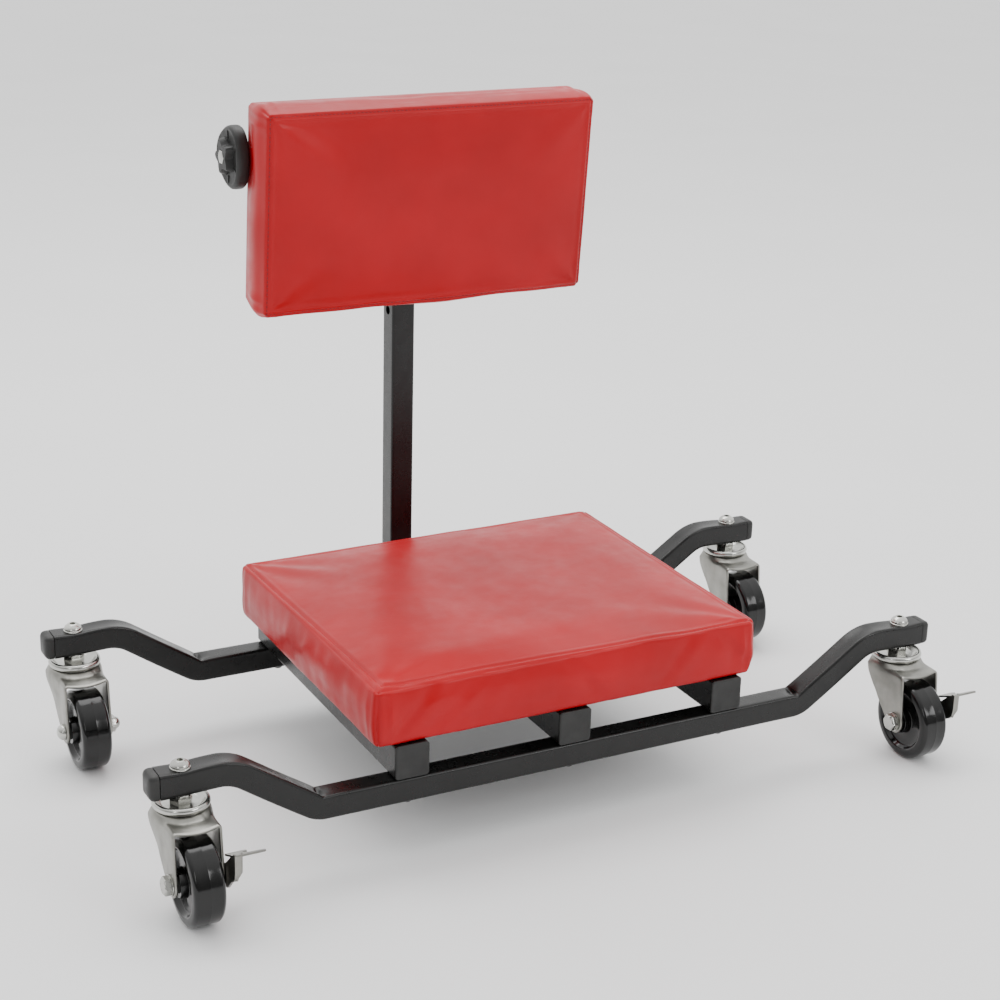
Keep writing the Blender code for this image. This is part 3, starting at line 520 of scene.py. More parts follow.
def combine(piece: bpy.types.Object, other: bpy.types.Object, operation: str = "DIFFERENCE",
            sharp: float = 42.0) -> bpy.types.Object:
    """Cut a piece with another, or weld them into one.

    Args:
        piece: the piece that stays.
        other: the piece that is used up.
        operation: DIFFERENCE to cut or UNION to weld.
        sharp: the shading angle afterwards.

    Returns:
        The piece that stays.
    """
    step = piece.modifiers.new("combine", "BOOLEAN")
    step.operation = operation
    step.solver = "EXACT"
    step.object = other
    settle(piece)
    bpy.data.objects.remove(other, do_unlink=True)
    shade(piece, sharp)
    return piece


def soften(piece: bpy.types.Object, width: float, segments: int = 2) -> bpy.types.Object:
    """Bevel the sharp edges of a combined piece."""
    step = piece.modifiers.new("edges", "BEVEL")
    step.width = width
    step.segments = segments
    step.limit_method = "ANGLE"
    step.angle_limit = math.radians(35)
    settle(piece)
    shade(piece)
    return piece


# ================================================================ node trees
class NodeKit:
    """Geometry node trees for what repeats along a path."""

    @staticmethod
    def _tree(name: str, floats: Sequence[str]) -> tuple[bpy.types.NodeTree, dict[str, str]]:
        """Start a tree with a mesh in, named numbers and a mesh out."""
        tree = bpy.data.node_groups.new(name, "GeometryNodeTree")
        face = tree.interface
        face.new_socket("Path", in_out="INPUT", socket_type="NodeSocketGeometry")
        keys = {}
        for label in floats:
            keys[label] = face.new_socket(label, in_out="INPUT",
                                          socket_type="NodeSocketFloat").identifier
        keys["Seed"] = face.new_socket("Seed", in_out="INPUT",
                                       socket_type="NodeSocketInt").identifier
        keys["Finish"] = face.new_socket("Finish", in_out="INPUT",
                                         socket_type="NodeSocketMaterial").identifier
        face.new_socket("Mesh", in_out="OUTPUT", socket_type="NodeSocketGeometry")
        return tree, keys

    @classmethod
    def run(cls, path: bpy.types.Object, tree: bpy.types.NodeTree, keys: dict[str, str],
            finish: Finish, seed: int = 0, **sizes: float) -> bpy.types.Object:
        """Run a tree on a path and keep the mesh that it makes.

        Args:
            path: object whose edges are the path; it becomes the piece.
            tree: the tree to run.
            keys: the identifiers of its inputs.
            finish: what the made pieces are finished with.
            seed: seed of anything random.
            sizes: the named sizes.

        Returns:
            The path's object, now holding the made mesh.
        """
        step = path.modifiers.new(tree.name, "NODES")
        step.node_group = tree
        for label, value in sizes.items():
            step[keys[label]] = value
        step[keys["Seed"]] = seed
        step[keys["Finish"]] = finish.material
        path.data.update()
        return settle(path)

    @classmethod
    def row(cls) -> tuple[bpy.types.NodeTree, dict[str, str]]:
        """Small rounded items set out along a path, such as stitches or staples."""
        found = bpy.data.node_groups.get("row_of_items")
        if found:
            return found, json.loads(found["keys"])
        tree, keys = cls._tree("row_of_items", ("Pitch", "Length", "Width", "Height", "Tilt"))
        new, link = tree.nodes.new, tree.links.new
        given = new("NodeGroupInput")
        out = new("NodeGroupOutput")
        curve = new("GeometryNodeMeshToCurve")
        spaced = new("GeometryNodeCurveToPoints")
        spaced.mode = "LENGTH"
        bead = new("GeometryNodeMeshUVSphere")
        bead.inputs["Segments"].default_value = 8
        bead.inputs["Rings"].default_value = 6
        bead.inputs["Radius"].default_value = 0.5
        sized = new("GeometryNodeTransform")
        scale = new("ShaderNodeCombineXYZ")
        aim = new("FunctionNodeAlignRotationToVector")
        aim.axis = "Z"
        jitter = new("FunctionNodeRandomValue")
        jitter.data_type = "FLOAT"
        turn = new("FunctionNodeRotateRotation")
        turn.rotation_space = "LOCAL"
        twist = new("ShaderNodeCombineXYZ")
        spread = new("GeometryNodeInstanceOnPoints")
        real = new("GeometryNodeRealizeInstances")
        dress = new("GeometryNodeSetMaterial")
        negative = new("ShaderNodeMath")
        negative.operation = "MULTIPLY"
        negative.inputs[1].default_value = -1.0
        link(given.outputs["Path"], curve.inputs["Mesh"])
        link(curve.outputs["Curve"], spaced.inputs["Curve"])
        link(given.outputs["Pitch"], spaced.inputs["Length"])
        link(given.outputs["Width"], scale.inputs["X"])
        link(given.outputs["Height"], scale.inputs["Y"])
        link(given.outputs["Length"], scale.inputs["Z"])
        link(bead.outputs["Mesh"], sized.inputs["Geometry"])
        link(scale.outputs["Vector"], sized.inputs["Scale"])
        link(spaced.outputs["Tangent"], aim.inputs["Vector"])
        link(given.outputs["Tilt"], negative.inputs[0])
        link(negative.outputs["Value"], jitter.inputs[2])
        link(given.outputs["Tilt"], jitter.inputs[3])
        link(given.outputs["Seed"], jitter.inputs["Seed"])
        link(jitter.outputs[1], twist.inputs["X"])
        link(aim.outputs["Rotation"], turn.inputs["Rotation"])
        link(twist.outputs["Vector"], turn.inputs["Rotate By"])
        link(spaced.outputs["Points"], spread.inputs["Points"])
        link(sized.outputs["Geometry"], spread.inputs["Instance"])
        link(turn.outputs["Rotation"], spread.inputs["Rotation"])
        link(spread.outputs["Instances"], real.inputs["Geometry"])
        link(real.outputs["Geometry"], dress.inputs["Geometry"])
        link(given.outputs["Finish"], dress.inputs["Material"])
        link(dress.outputs["Geometry"], out.inputs["Mesh"])
        tree["keys"] = json.dumps(keys)
        return tree, keys

    @classmethod
    def tube(cls) -> tuple[bpy.types.NodeTree, dict[str, str]]:
        """Square tube with round corners, swept along a path."""
        found = bpy.data.node_groups.get("square_tube")
        if found:
            return found, json.loads(found["keys"])
        tree, keys = cls._tree("square_tube", ("Size", "Corner"))
        new, link = tree.nodes.new, tree.links.new
        given = new("NodeGroupInput")
        out = new("NodeGroupOutput")
        curve = new("GeometryNodeMeshToCurve")
        square = new("GeometryNodeCurvePrimitiveQuadrilateral")
        rounded = new("GeometryNodeFilletCurve")
        rounded.mode = "POLY"
        rounded.inputs["Count"].default_value = 5
        sweep = new("GeometryNodeCurveToMesh")
        sweep.inputs["Fill Caps"].default_value = True
        real = new("GeometryNodeRealizeInstances")
        dress = new("GeometryNodeSetMaterial")
        link(given.outputs["Path"], curve.inputs["Mesh"])
        link(given.outputs["Size"], square.inputs["Width"])
        link(given.outputs["Size"], square.inputs["Height"])
        link(square.outputs["Curve"], rounded.inputs["Curve"])
        link(given.outputs["Corner"], rounded.inputs["Radius"])
        link(curve.outputs["Curve"], sweep.inputs["Curve"])
        link(rounded.outputs["Curve"], sweep.inputs["Profile Curve"])
        link(sweep.outputs["Mesh"], real.inputs["Geometry"])
        link(real.outputs["Geometry"], dress.inputs["Geometry"])
        link(given.outputs["Finish"], dress.inputs["Material"])
        link(dress.outputs["Geometry"], out.inputs["Mesh"])
        tree["keys"] = json.dumps(keys)
        return tree, keys


def path_object(name: str, lines: Sequence[Sequence[Vector]], closed: bool = False) -> bpy.types.Object:
    """Mesh of bare edges that a node tree can follow.

    Args:
        name: the name of the piece that the path becomes.
        lines: one row of points for each path.
        closed: whether each path returns to its start.

    Returns:
        The object.
    """
    points, edges = [], []
    for line in lines:
        start = len(points)
        points += list(line)
        edges += [(k, k + 1) for k in range(start, len(points) - 1)]
        if closed:
            edges.append((len(points) - 1, start))
    mesh = bpy.data.meshes.new(name)
    mesh.from_pydata(points, edges, [])
    made = bpy.data.objects.new(name, mesh)
    bpy.context.scene.collection.objects.link(made)
    return made


# ================================================================ assemblies
@dataclass
class Assembly:
    """Pieces that are drawn together; counts what it has handed over."""
    placed: int = field(default=0, init=False)

    def hand_over(self, piece: bpy.types.Object, body: str, slot: Finish, *nodes: str) -> None:
        """Let a piece ride on its body and stand for its CAD nodes.

        Args:
            piece: the finished piece.
            body: the body that it moves with.
            slot: the record's finish for the piece; not used.
            nodes: the CAD nodes that it stands for.
        """
        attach(piece, body)
        if nodes:
            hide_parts(*nodes)
        self.placed += 1
        LOG.info("%s rides on %s: %d faces", piece.name, body, len(piece.data.polygons))


@dataclass
class Rails(Assembly):
    """The two bent rails with their end caps and under-rail bolts."""
    corner: float = 0.0027
    slope: float = math.radians(33.0)
    low_half: float = 0.2458
    upper_radius: float = 0.043
    lower_radius: float = 0.024
    arc_steps: int = 12
    station: float = 0.0042
    stem_inset: float = 0.0205
    bolt_dip: float = 0.0010
    arch_rise: float = 0.0014
    arch_hollow: float = 0.0011
    dimple: float = 0.0034
    cap_depth: float = 0.0096

    def build(self) -> None:
        """Draw both rails and what is on them."""
        for side in ("near", "far"):
            self._rail(side + "_rail")
            for hand, sign in (("left", -1), ("right", 1)):
                self._cap(side, hand, sign)
            for label in ("left", "middle", "right"):
                self._bolt(f"rail_bolt_{side}_{label}")

    def _measure(self, node: str) -> None:
        """Read a rail's own sizes from the frame."""
        low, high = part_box(node)
        self.size = high.y - low.y
        self.half = (high.x - low.x) / 2
        self.middle = Vector(((low.x + high.x) / 2, (low.y + high.y) / 2, 0))
        self.high_z = high.z - self.size / 2
        self.low_z = low.z + self.size / 2

    def _right_half(self) -> list[tuple[Vector, Vector, float, float]]:
        """Stations from the middle to the right end.

        Returns:
            For each station its place, its direction, the arc angle still to the nearer
            end of the lower bend, and its distance from that bend's middle.
        """
        drop = self.high_z - self.low_z
        trim_low = self.lower_radius * math.tan(self.slope / 2)
        trim_high = self.upper_radius * math.tan(self.slope / 2)
        knee = Vector((self.low_half, 0, self.low_z))
        shoulder = knee + Vector((drop / math.tan(self.slope), 0, drop))
        flat = Vector((1, 0, 0))
        rising = (shoulder - knee).normalized()
        runs = [(Vector((0, 0, self.low_z)), knee - flat * trim_low),
                (knee + rising * trim_low, shoulder - rising * trim_high),
                (shoulder + flat * trim_high, Vector((self.half, 0, self.high_z)))]
        arcs = [(knee - flat * trim_low + Vector((0, 0, self.lower_radius)), self.lower_radius, 1),
                (shoulder + flat * trim_high - Vector((0, 0, self.upper_radius)),
                 self.upper_radius, -1)]
        stations = []
        bend_half = self.lower_radius * self.slope / 2
        for k, (start, end) in enumerate(runs):
            count = max(2, round((end - start).length / self.station))
            for share in between(0.0, 1.0, count)[(0 if k == 0 else 1):]:
                point = start.lerp(end, share)
                away = (knee - point).length - trim_low + bend_half
                stations.append((point, (end - start).normalized(), 0.0, away))
            if k < 2:
                centre, radius, sign = arcs[k]
                for step in range(1, self.arc_steps):
                    angle = self.slope * step / self.arc_steps
                    turn = angle if sign > 0 else self.slope - angle
                    tangent = Vector((math.cos(turn), 0, math.sin(turn)))
                    normal = Vector((-math.sin(turn), 0, math.cos(turn)))
                    point = centre - normal * radius * sign
                    held = min(angle, self.slope - angle) if k == 0 else 0.0
                    away = radius * abs(angle - self.slope / 2) if k == 0 else 1.0
                    stations.append((point, tangent, held, away))
        return stations

    def _section(self, station: tuple[Vector, Vector, float, float], mirror: float) -> list[Vector]:
        """Outline of the tube at one station, with its dents."""
        point, tangent, held, away = station
        half = self.size / 2
        up = Vector((0, 1, 0)).cross(tangent) * -1
        if up.z < 0:
            up.negate()
        reach = self.half - point.x
        stem = hump(reach - self.stem_inset, 0.012)
        arch = hump(point.x - (self.half - 0.062), 0.034) * eased(reach / 0.03)
        inner = self.lower_radius - half
        mitre = inner * (1 / math.cos(held) - 1)
        lift = self.arch_rise * arch
        ring = []
        for u, v in soft_square(half, half, self.corner, 3, 7):
            top = eased((v / half - 0.55) / 0.4)
            across = max(0.0, 1 - (u / half) ** 2)
            dent = self.bolt_dip * stem * top
            dent += self.arch_hollow * arch * across * top
            dent += mitre * top + self.dimple * hump(away, 0.0052) * hump(u, 0.0058) * top
            dent += 0.0008 * hump(away, 0.010) * across * top
            bulge = 1 + 0.045 * hump(away, 0.009) * eased(v / half)
            place = point + up * (v - dent + lift) + Vector((0, u * bulge, 0))
            place.x *= mirror
            ring.append(place + self.middle)
        return ring

    def _rail(self, node: str) -> None:
        """Draw one rail as a dented square tube."""
        self._measure(node)
        right = self._right_half()
        rings = [self._section(station, -1) for station in reversed(right[1:])]
        rings += [self._section(station, 1) for station in right]
        for end in (0, -1):
            middle = sum(rings[end], Vector()) / len(rings[end])
            lip = [middle + (point - middle) * 0.965 for point in rings[end]]
            rings.insert(0 if end == 0 else len(rings), lip)
        tube = Draft().loft(rings).piece(node.replace("_", "_side_"), Finish.PAINT, sharp=50)
        self.hand_over(tube, "frame", Finish.PAINT, node)

    def _cap(self, side: str, hand: str, sign: int) -> None:
        """Draw one pillow-shaped end cap."""
        node = f"rail_cap_{side}_{hand}"
        self._measure(side + "_rail")
        half = self.size / 2
        end = self.middle + Vector((sign * self.half, 0, self.high_z))
        place = axes_at(end, (0, 1, 0), (0, 0, sign))
        steps = ((0.86, -0.004), (0.86, 0.0004), (0.975, 0.0006), (1.0, 0.0014), (1.0, 0.0040),
                 (0.975, 0.0058), (0.91, 0.0074), (0.78, 0.0086), (0.55, 0.0093), (0.25, 0.0096))
        scale = self.cap_depth / steps[-1][1]
        shapes = [(soft_square(half * s, half * s, self.corner * s * 1.3, 4, 4), w * scale)
                  for s, w in steps]
        cap = Draft().sections(shapes, place).piece(f"end_cap_{side}_{hand}", Finish.PLASTIC)
        self.hand_over(cap, "frame", Finish.PLASTIC, node)

    def _bolt(self, node: str) -> None:
        """Draw the round head and washer of a bolt under the rail."""
        low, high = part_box(node)
        radius = (high.x - low.x) / 2
        self._measure(("near" if "near" in node else "far") + "_rail")
        under = self.low_z - self.size / 2
        place = Matrix.Translation(((low.x + high.x) / 2, (low.y + high.y) / 2, 0))
        depth = under - low.z
        profile = [(radius * 0.40, low.z), (radius * 0.72, low.z + 0.08 * depth),
                   (radius * 0.93, low.z + 0.35 * depth), (radius, low.z + 0.6 * depth),
                   (radius, under - 0.0007), (radius * 1.25, under - 0.0006),
                   (radius * 1.25, under), (radius * 0.5, under), (radius * 0.5, high.z)]
        bolt = Draft().turned(profile, place, 36).piece(node.replace("rail_bolt", "under_bolt"),
                                                       Finish.PAINT)
        self.hand_over(bolt, "frame", Finish.PAINT, node)


@dataclass
class CrossTubes(Assembly):
    """The three cross tubes, their end caps and the post's collar."""
    corner: float = 0.0030

    def build(self) -> None:
        """Draw each tube and cap."""
        tree, keys = NodeKit.tube()
        for label in ("left", "middle", "right"):
            node = "cross_tube_" + label
            low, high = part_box(node)
            middle = (low + high) / 2
            ends = [Vector((middle.x, y, middle.z)) for y in between(low.y, high.y, 6)]
            path = path_object("cross_member_" + label, [ends])
            tube = NodeKit.run(path, tree, keys, Finish.PAINT, Size=high.x - low.x,
                               Corner=self.corner)
            shade(tube)
            self.hand_over(tube, "frame", Finish.PAINT, node)
            self._cap("cross_cap_near_" + label, -1, high.x - low.x)
            if label != "middle":
                self._cap("cross_cap_far_" + label, 1, high.x - low.x)
        self._collar("post_collar", "back_post")

    def _cap(self, node: str, side: int, size: float) -> None:
        """Draw one flat end cap with an eased edge."""
        low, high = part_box(node)
        face = low.y if side < 0 else high.y
        middle = (low + high) / 2
        place = axes_at(Vector((middle.x, face, middle.z)), (0, 0, 1), (side, 0, 0))
        half = size / 2
        steps = ((0.88, -0.0065), (0.88, -0.0021), (0.99, -0.0019), (1.0, -0.0015), (1.0, -0.0007),
                 (0.975, -0.0002), (0.945, 0.0), (0.86, 0.0001), (0.80, -0.0004), (0.50, -0.0005))
        shapes = [(soft_square(half * s, half * s, self.corner * s, 4, 3), w) for s, w in steps]
        cap = Draft().sections(shapes, place).piece(node.replace("cross_cap", "tube_cap"),
                                                    Finish.PLASTIC)
        self.hand_over(cap, "frame", Finish.PLASTIC, node)

    def _collar(self, node: str, post: str) -> None:
        """Draw the bored collar round the post's arm."""
        low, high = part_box(node)
        middle = (low + high) / 2
        post_low, post_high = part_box(post)
        bore = (post_high.x - post_low.x) / 2 + 0.0003
        shift = (post_low.x + post_high.x) / 2 - middle.x
        half = (high.x - low.x) / 2
        place = axes_at(Vector((middle.x, high.y, middle.z)), (0, 0, 1), (1, 0, 0))
        hole = [(u, v + shift) for u, v in soft_square(bore, bore, 0.0026, 4, 3)]
        shapes = [(hole, -0.0066), (soft_square(half * 0.88, half * 0.88, self.corner, 4, 3), -0.0066),
                  (soft_square(half * 0.88, half * 0.88, self.corner, 4, 3), -0.0020),
                  (soft_square(half, half, self.corner, 4, 3), -0.0018),
                  (soft_square(half, half, self.corner, 4, 3), -0.0005),
                  (soft_square(half * 0.97, half * 0.97, self.corner, 4, 3), 0.0), (hole, 0.0)]
        collar = Draft().sections(shapes, place, True).piece("collar_of_post", Finish.PLASTIC)
        self.hand_over(collar, "frame", Finish.PLASTIC, node)


class Ending(Enum):
    """How an axle is finished off."""
    HEX = "hexagon head"
    DOME = "domed head"


@dataclass
class Castor(Assembly):
    """One swivel castor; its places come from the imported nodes."""
    where: str = ""
    braked: bool = False
    leg_face: float = 0.0215
    plate: float = 0.0028
    fork_front: float = 0.0389
    fork_top: float = 0.0868
    crown_radius: float = 0.0268
    crown_flare: float = 0.0042
    dome_height: float = 0.0040
    foot: float = 0.0113
    hex_flats: float = 0.0145
    socket_flats: float = 0.0050
    wheel_shoulder: float = 0.0050
    rim_width: float = 0.0090

    def build(self) -> None:
        """Draw the castor's pieces."""
        low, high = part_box("castor_bolt_" + self.where)
        self.stem = Vector(((low.x + high.x) / 2, (low.y + high.y) / 2, 0))
        low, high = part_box("wheel_" + self.where)
        self.axle = (low + high) / 2
        self.radius = (high.z - low.z) / 2
        self.trail = self.stem.y - self.axle.y
        self._bolt()
        self._cup()
        self._fork()
        self._wheel()
        self._axle(Ending.HEX if self.braked else Ending.DOME)
        self._nut()
        if self.braked:
            self._lever()
        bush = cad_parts["bush_" + self.where]
        for place in bush.material_slots:
            place.material = Finish.NYLON.material

    def _bolt(self) -> None:
        """Button head with a hexagon socket, on a washer."""
        node = "castor_bolt_" + self.where
        low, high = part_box(node)
        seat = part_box("near_rail" if "near" in self.where else "far_rail")[1].z - 0.0009
        base = Matrix.Translation(self.stem)
        head = (high.x - low.x) / 2
        tall = high.z - seat
        steps = 48
        shapes = [(circle(0.0078, steps), low.z), (circle(0.0078, steps), low.z + 0.003),
                  (circle(0.0049, steps), low.z + 0.003), (circle(0.0049, steps), seat),
                  (circle(head * 0.98, steps), seat), (circle(head, steps), seat + 0.0004),
                  (circle(head, steps), seat + 0.0012), (circle(head * 0.97, steps), seat + 0.0016),
                  (circle(head * 0.90, steps), seat + 0.0018),
                  (circle(head * 0.93, steps), seat + 0.0028)]
        for share in (0.45, 0.62, 0.78, 0.90, 0.97, 1.0):
            reach = head * (0.93 - 0.50 * ((share - 0.40) / 0.60) ** 1.9)
            shapes.append((circle(reach, steps), seat + tall * share))
        shapes += [(polygon(self.socket_flats, 6, steps), high.z - 0.0001),
                   (polygon(self.socket_flats * 0.96, 6, steps), high.z - 0.0034),
                   (circle(0.0008, steps), high.z - 0.0042)]
        bolt = Draft().sections(shapes, base).piece("stem_bolt_" + self.where, Finish.BRIGHT)
        self.hand_over(bolt, "frame", Finish.ZINC, node)

    def _cup(self) -> None:
        """Rolled race with a sunk middle and a hexagon boss."""
        node = "bearing_cup_" + self.where
        low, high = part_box(node)
        radius = (high.x - low.x) / 2
        base, steps = low.z, 72
        outer = [(0.905, 0.0), (0.955, 0.0004), (0.985, 0.0013), (1.0, 0.0027), (0.995, 0.0042),
                 (0.970, 0.0056), (0.925, 0.0064), (0.880, 0.0065), (0.840, 0.0060), (0.800, 0.0049),
                 (0.740, 0.0035), (0.680, 0.0025), (0.640, 0.0022), (0.480, 0.0020)]
        shapes = [(circle(0.0053, steps), base)]
        shapes += [(circle(radius * share, steps), base + up) for share, up in outer]
        nut = 0.0170
        shapes += [(polygon(nut, 6, steps), base + 0.0024), (polygon(nut, 6, steps), high.z - 0.0007),
                   (circle(nut * 0.48, steps), high.z), (circle(0.0053, steps), high.z)]
        cup = Draft().sections(shapes, Matrix.Translation(self.stem), True)
        made = cup.piece("race_cup_" + self.where, Finish.BRIGHT, sharp=55)
        self.hand_over(made, "frame", Finish.ZINC, node)
        # Painted shade: a glossy black ring fills the gap between the cup and the fork's crown and stands for the
        # shadow in that gap.
        gap = Draft().turned([(radius * 0.90, base - 0.0022), (radius * 0.93, base - 0.0016),
                              (radius * 0.90, base - 0.0003)], Matrix.Translation(self.stem), 48,
                             0.0056)
        gap_shade_ring = gap.piece("race_seal_" + self.where, Finish.WHEEL)
        self.hand_over(gap_shade_ring, "castor_" + self.where, Finish.WHEEL)

    def _leg_edges(self, height: float) -> tuple[float, float]:
        """Front and rear edge of a leg at one height, from the stem."""
        centre = Vector((-self.trail, self.radius))
        rise = height - centre.y
        swing = math.sqrt(max(self.foot ** 2 - rise ** 2, 0.0004 ** 2))
        front = centre.x - swing
        if rise > 0:
            front = centre.x - self.foot + (self.foot - self.fork_front + self.trail) * rise / (
                self.fork_top - centre.y)
        rear_points = [(self.radius - self.foot, centre.x), (self.radius - 0.0060, centre.x + 0.0096),
                       (0.0400, centre.x + 0.0168), (0.0520, -0.0040), (0.0640, 0.0050),
                       (0.0760, 0.0095), (self.fork_top, 0.0112)]
        rear = rear_points[-1][1]
        for (z0, y0), (z1, y1) in zip(rear_points, rear_points[1:]):
            if height <= z1:
                rear = y0 + (y1 - y0) * (height - z0) / (z1 - z0)
                break
        if rise < -0.0060:
            rear = centre.x + swing
        return front, rear

    def _fork(self) -> None:
        """Pressed fork: two legs, a crown round the stem and a bowed front lip."""
        node = "fork_" + self.where
        across, legs, bend = 18, 22, 5
        face, corner = self.leg_face, 0.0040
        bottom = self.radius - self.foot + 0.0001
        rows: list[list[Vector]] = []
        heights = [bottom + (self.fork_top - corner - bottom) * (k / legs) ** 1.35
                   for k in range(legs + 1)]
        span = between(0.0, 1.0, across)
        for height in heights:
            front, rear = self._leg_edges(height)
            row = []
            for share in span:
                y = front + (rear - front) * share
                flare = self.crown_flare * eased((y + 0.026) / 0.030) * eased((height - 0.056) / 0.026)
                row.append(Vector((face + flare, y, height)))
            rows.append(row)
        front, rear = self._leg_edges(self.fork_top)
        for k in range(1, bend + 1):
            angle = math.pi / 2 * k / bend
            row = []
            for share in span:
                y = front + (rear - front) * share
                flare = self.crown_flare * eased((y + 0.026) / 0.030)
                row.append(Vector((face + flare - corner * (1 - math.cos(angle)), y,
                                   self.fork_top - corner * (1 - math.sin(angle)))))
            rows.append(row)
        inner = 12
        for k in range(1, inner + 1):
            share_x = 1 - k / inner
            row = []
            for share in span:
                y = front + (rear - front) * share
                edge = face + self.crown_flare * eased((y + 0.026) / 0.030) - corner
                x = edge * share_x
                back = math.sqrt(max(self.crown_radius ** 2 - x * x, 1e-9))
                nose = front - 0.0028 * (1 - share_x ** 2)
                tail = rear + (back - rear) * eased((1 - share_x) / 0.35)
                row.append(Vector((x, nose + (tail - nose) * share, self.fork_top)))
            rows.append(row)
        for row in rows[legs + 1:]:
            for point in row:
                reach = math.hypot(point.x, point.y)
                point.z += self.dome_height * (1 - eased((reach - 0.0232) / 0.0036))
                lip = eased((-point.y - 0.030) / 0.012)
                point.z -= 0.0022 * lip * max(0.0, 1 - (point.x / face) ** 2)
        whole = rows + [[Vector((-p.x, p.y, p.z)) for p in row] for row in reversed(rows[:-1])]
        draft = Draft()
        lines = [draft.ring([point + self.stem for point in row]) for row in whole]
        for first, second in zip(lines, lines[1:]):
            draft.band(first, second, closed=False)
        fork = draft.piece("fork_press_" + self.where, Finish.ZINC, wall=self.plate, subdivide=1)
        self.hand_over(fork, "castor_" + self.where, Finish.ZINC, node)

    def _wheel(self) -> None:
        """Moulded wheel with a parting line, rolled shoulders and a sunk web."""
        node = "wheel_" + self.where
        low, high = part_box("wheel_" + self.where)
        hub_half = (high.x - low.x) / 2
        half, radius, shoulder = 0.0140, self.radius, self.wheel_shoulder
        rim = radius - self.rim_width
        side = [(0.0100, hub_half - 0.0004), (0.0117, hub_half), (0.0122, hub_half - 0.0007),
                (0.0126, half - 0.0036), (0.0135, half - 0.0044), (0.0200, half - 0.0050),
                (rim - 0.0036, half - 0.0046), (rim - 0.0018, half - 0.0034), (rim - 0.0006, half - 0.0006),
                (rim + 0.0006, half), (rim + 0.0020, half + 0.0001), (radius - shoulder, half - 0.0002)]
        for step in range(1, 8):
            angle = math.pi / 2 * step / 8
            side.append((radius - shoulder + shoulder * math.sin(angle),
                         half - shoulder + (shoulder - 0.0002) * math.cos(angle)))
        side += [(radius - 0.0002, half * 0.45), (radius - 0.00005, 0.0008), (radius + 0.00018, 0.00035)]
        profile = [(r, -w) for r, w in side] + [(r, w) for r, w in reversed(side)]
        wheel = Draft().turned(profile, along_x(self.axle), 112, 0.0081)
        made = wheel.piece("wheel_tread_" + self.where, Finish.WHEEL, sharp=60)
        self.hand_over(made, "wheel_" + self.where, Finish.WHEEL, node)

    def _axle(self, ending: Ending) -> None:
        """Axle with its head on the left."""
        node = "axle_" + self.where
        low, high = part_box(node)
        tip_left = self.axle.x - low.x
        tip_right = high.x - self.axle.x
        face = self.leg_face + 0.0002
        tall = tip_left - face
        shank = 0.00475
        steps = 48
        if ending is Ending.HEX:
            shapes = [(circle(self.hex_flats * 0.20, steps), -tip_left + 0.0003),
                      (circle(self.hex_flats * 0.455, steps), -tip_left),
                      (polygon(self.hex_flats * 0.985, 6, steps), -tip_left + 0.0010),
                      (polygon(self.hex_flats, 6, steps), -tip_left + 0.0022),
                      (polygon(self.hex_flats, 6, steps), -face - 0.0012),
                      (circle(self.hex_flats * 0.50, steps), -face - 0.0010),
                      (circle(self.hex_flats * 0.62, steps), -face - 0.0010),
                      (circle(self.hex_flats * 0.62, steps), -face)]
        else:
            shapes = []
            for k in range(1, 9):
                angle = math.pi / 2 * k / 8
                shapes.append((circle(self.hex_flats * 0.52 * math.sin(angle), steps),
                               -face - tall * (0.12 + 0.88 * math.cos(angle))))
            shapes.append((circle(self.hex_flats * 0.52, steps), -face))
        shapes += [(circle(shank, steps), -face), (circle(shank, steps), tip_right - 0.0008),
                   (circle(shank * 0.86, steps), tip_right)]
        axle = Draft().sections(shapes, along_x(self.axle)).piece("axle_bolt_" + self.where,
                                                                  Finish.BRIGHT)
        self.hand_over(axle, "castor_" + self.where, Finish.ZINC, node)

    def _nut(self) -> None:
        """Plain nut over the lever, or an acorn nut."""
        node = "axle_nut_" + self.where
        low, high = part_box(node)
        start, end = low.x - self.axle.x, high.x - self.axle.x
        flats, steps, bore = self.hex_flats, 48, 0.0050
        if self.braked:
            shapes = [(circle(bore, steps), start), (circle(flats * 0.48, steps), start),
                      (polygon(flats, 6, steps), start + 0.0008), (polygon(flats, 6, steps), end - 0.0009),
                      (circle(flats * 0.475, steps), end), (circle(bore, steps), end)]
            nut = Draft().sections(shapes, along_x(self.axle), True)
        else:
            body = start + (end - start) * 0.50
            shapes = [(polygon(flats, 6, steps), start), (polygon(flats, 6, steps), body - 0.0008),
                      (circle(flats * 0.475, steps), body), (circle(flats * 0.40, steps), body)]
            for k in range(1, 8):
                angle = math.pi / 2 * k / 8
                shapes.append((circle(flats * 0.40 * math.cos(angle), steps),
                               body + (end - body) * math.sin(angle)))
            nut = Draft().sections(shapes, along_x(self.axle))
        made = nut.piece("nut_of_axle_" + self.where, Finish.BRIGHT)
        self.hand_over(made, "castor_" + self.where, Finish.ZINC, node)

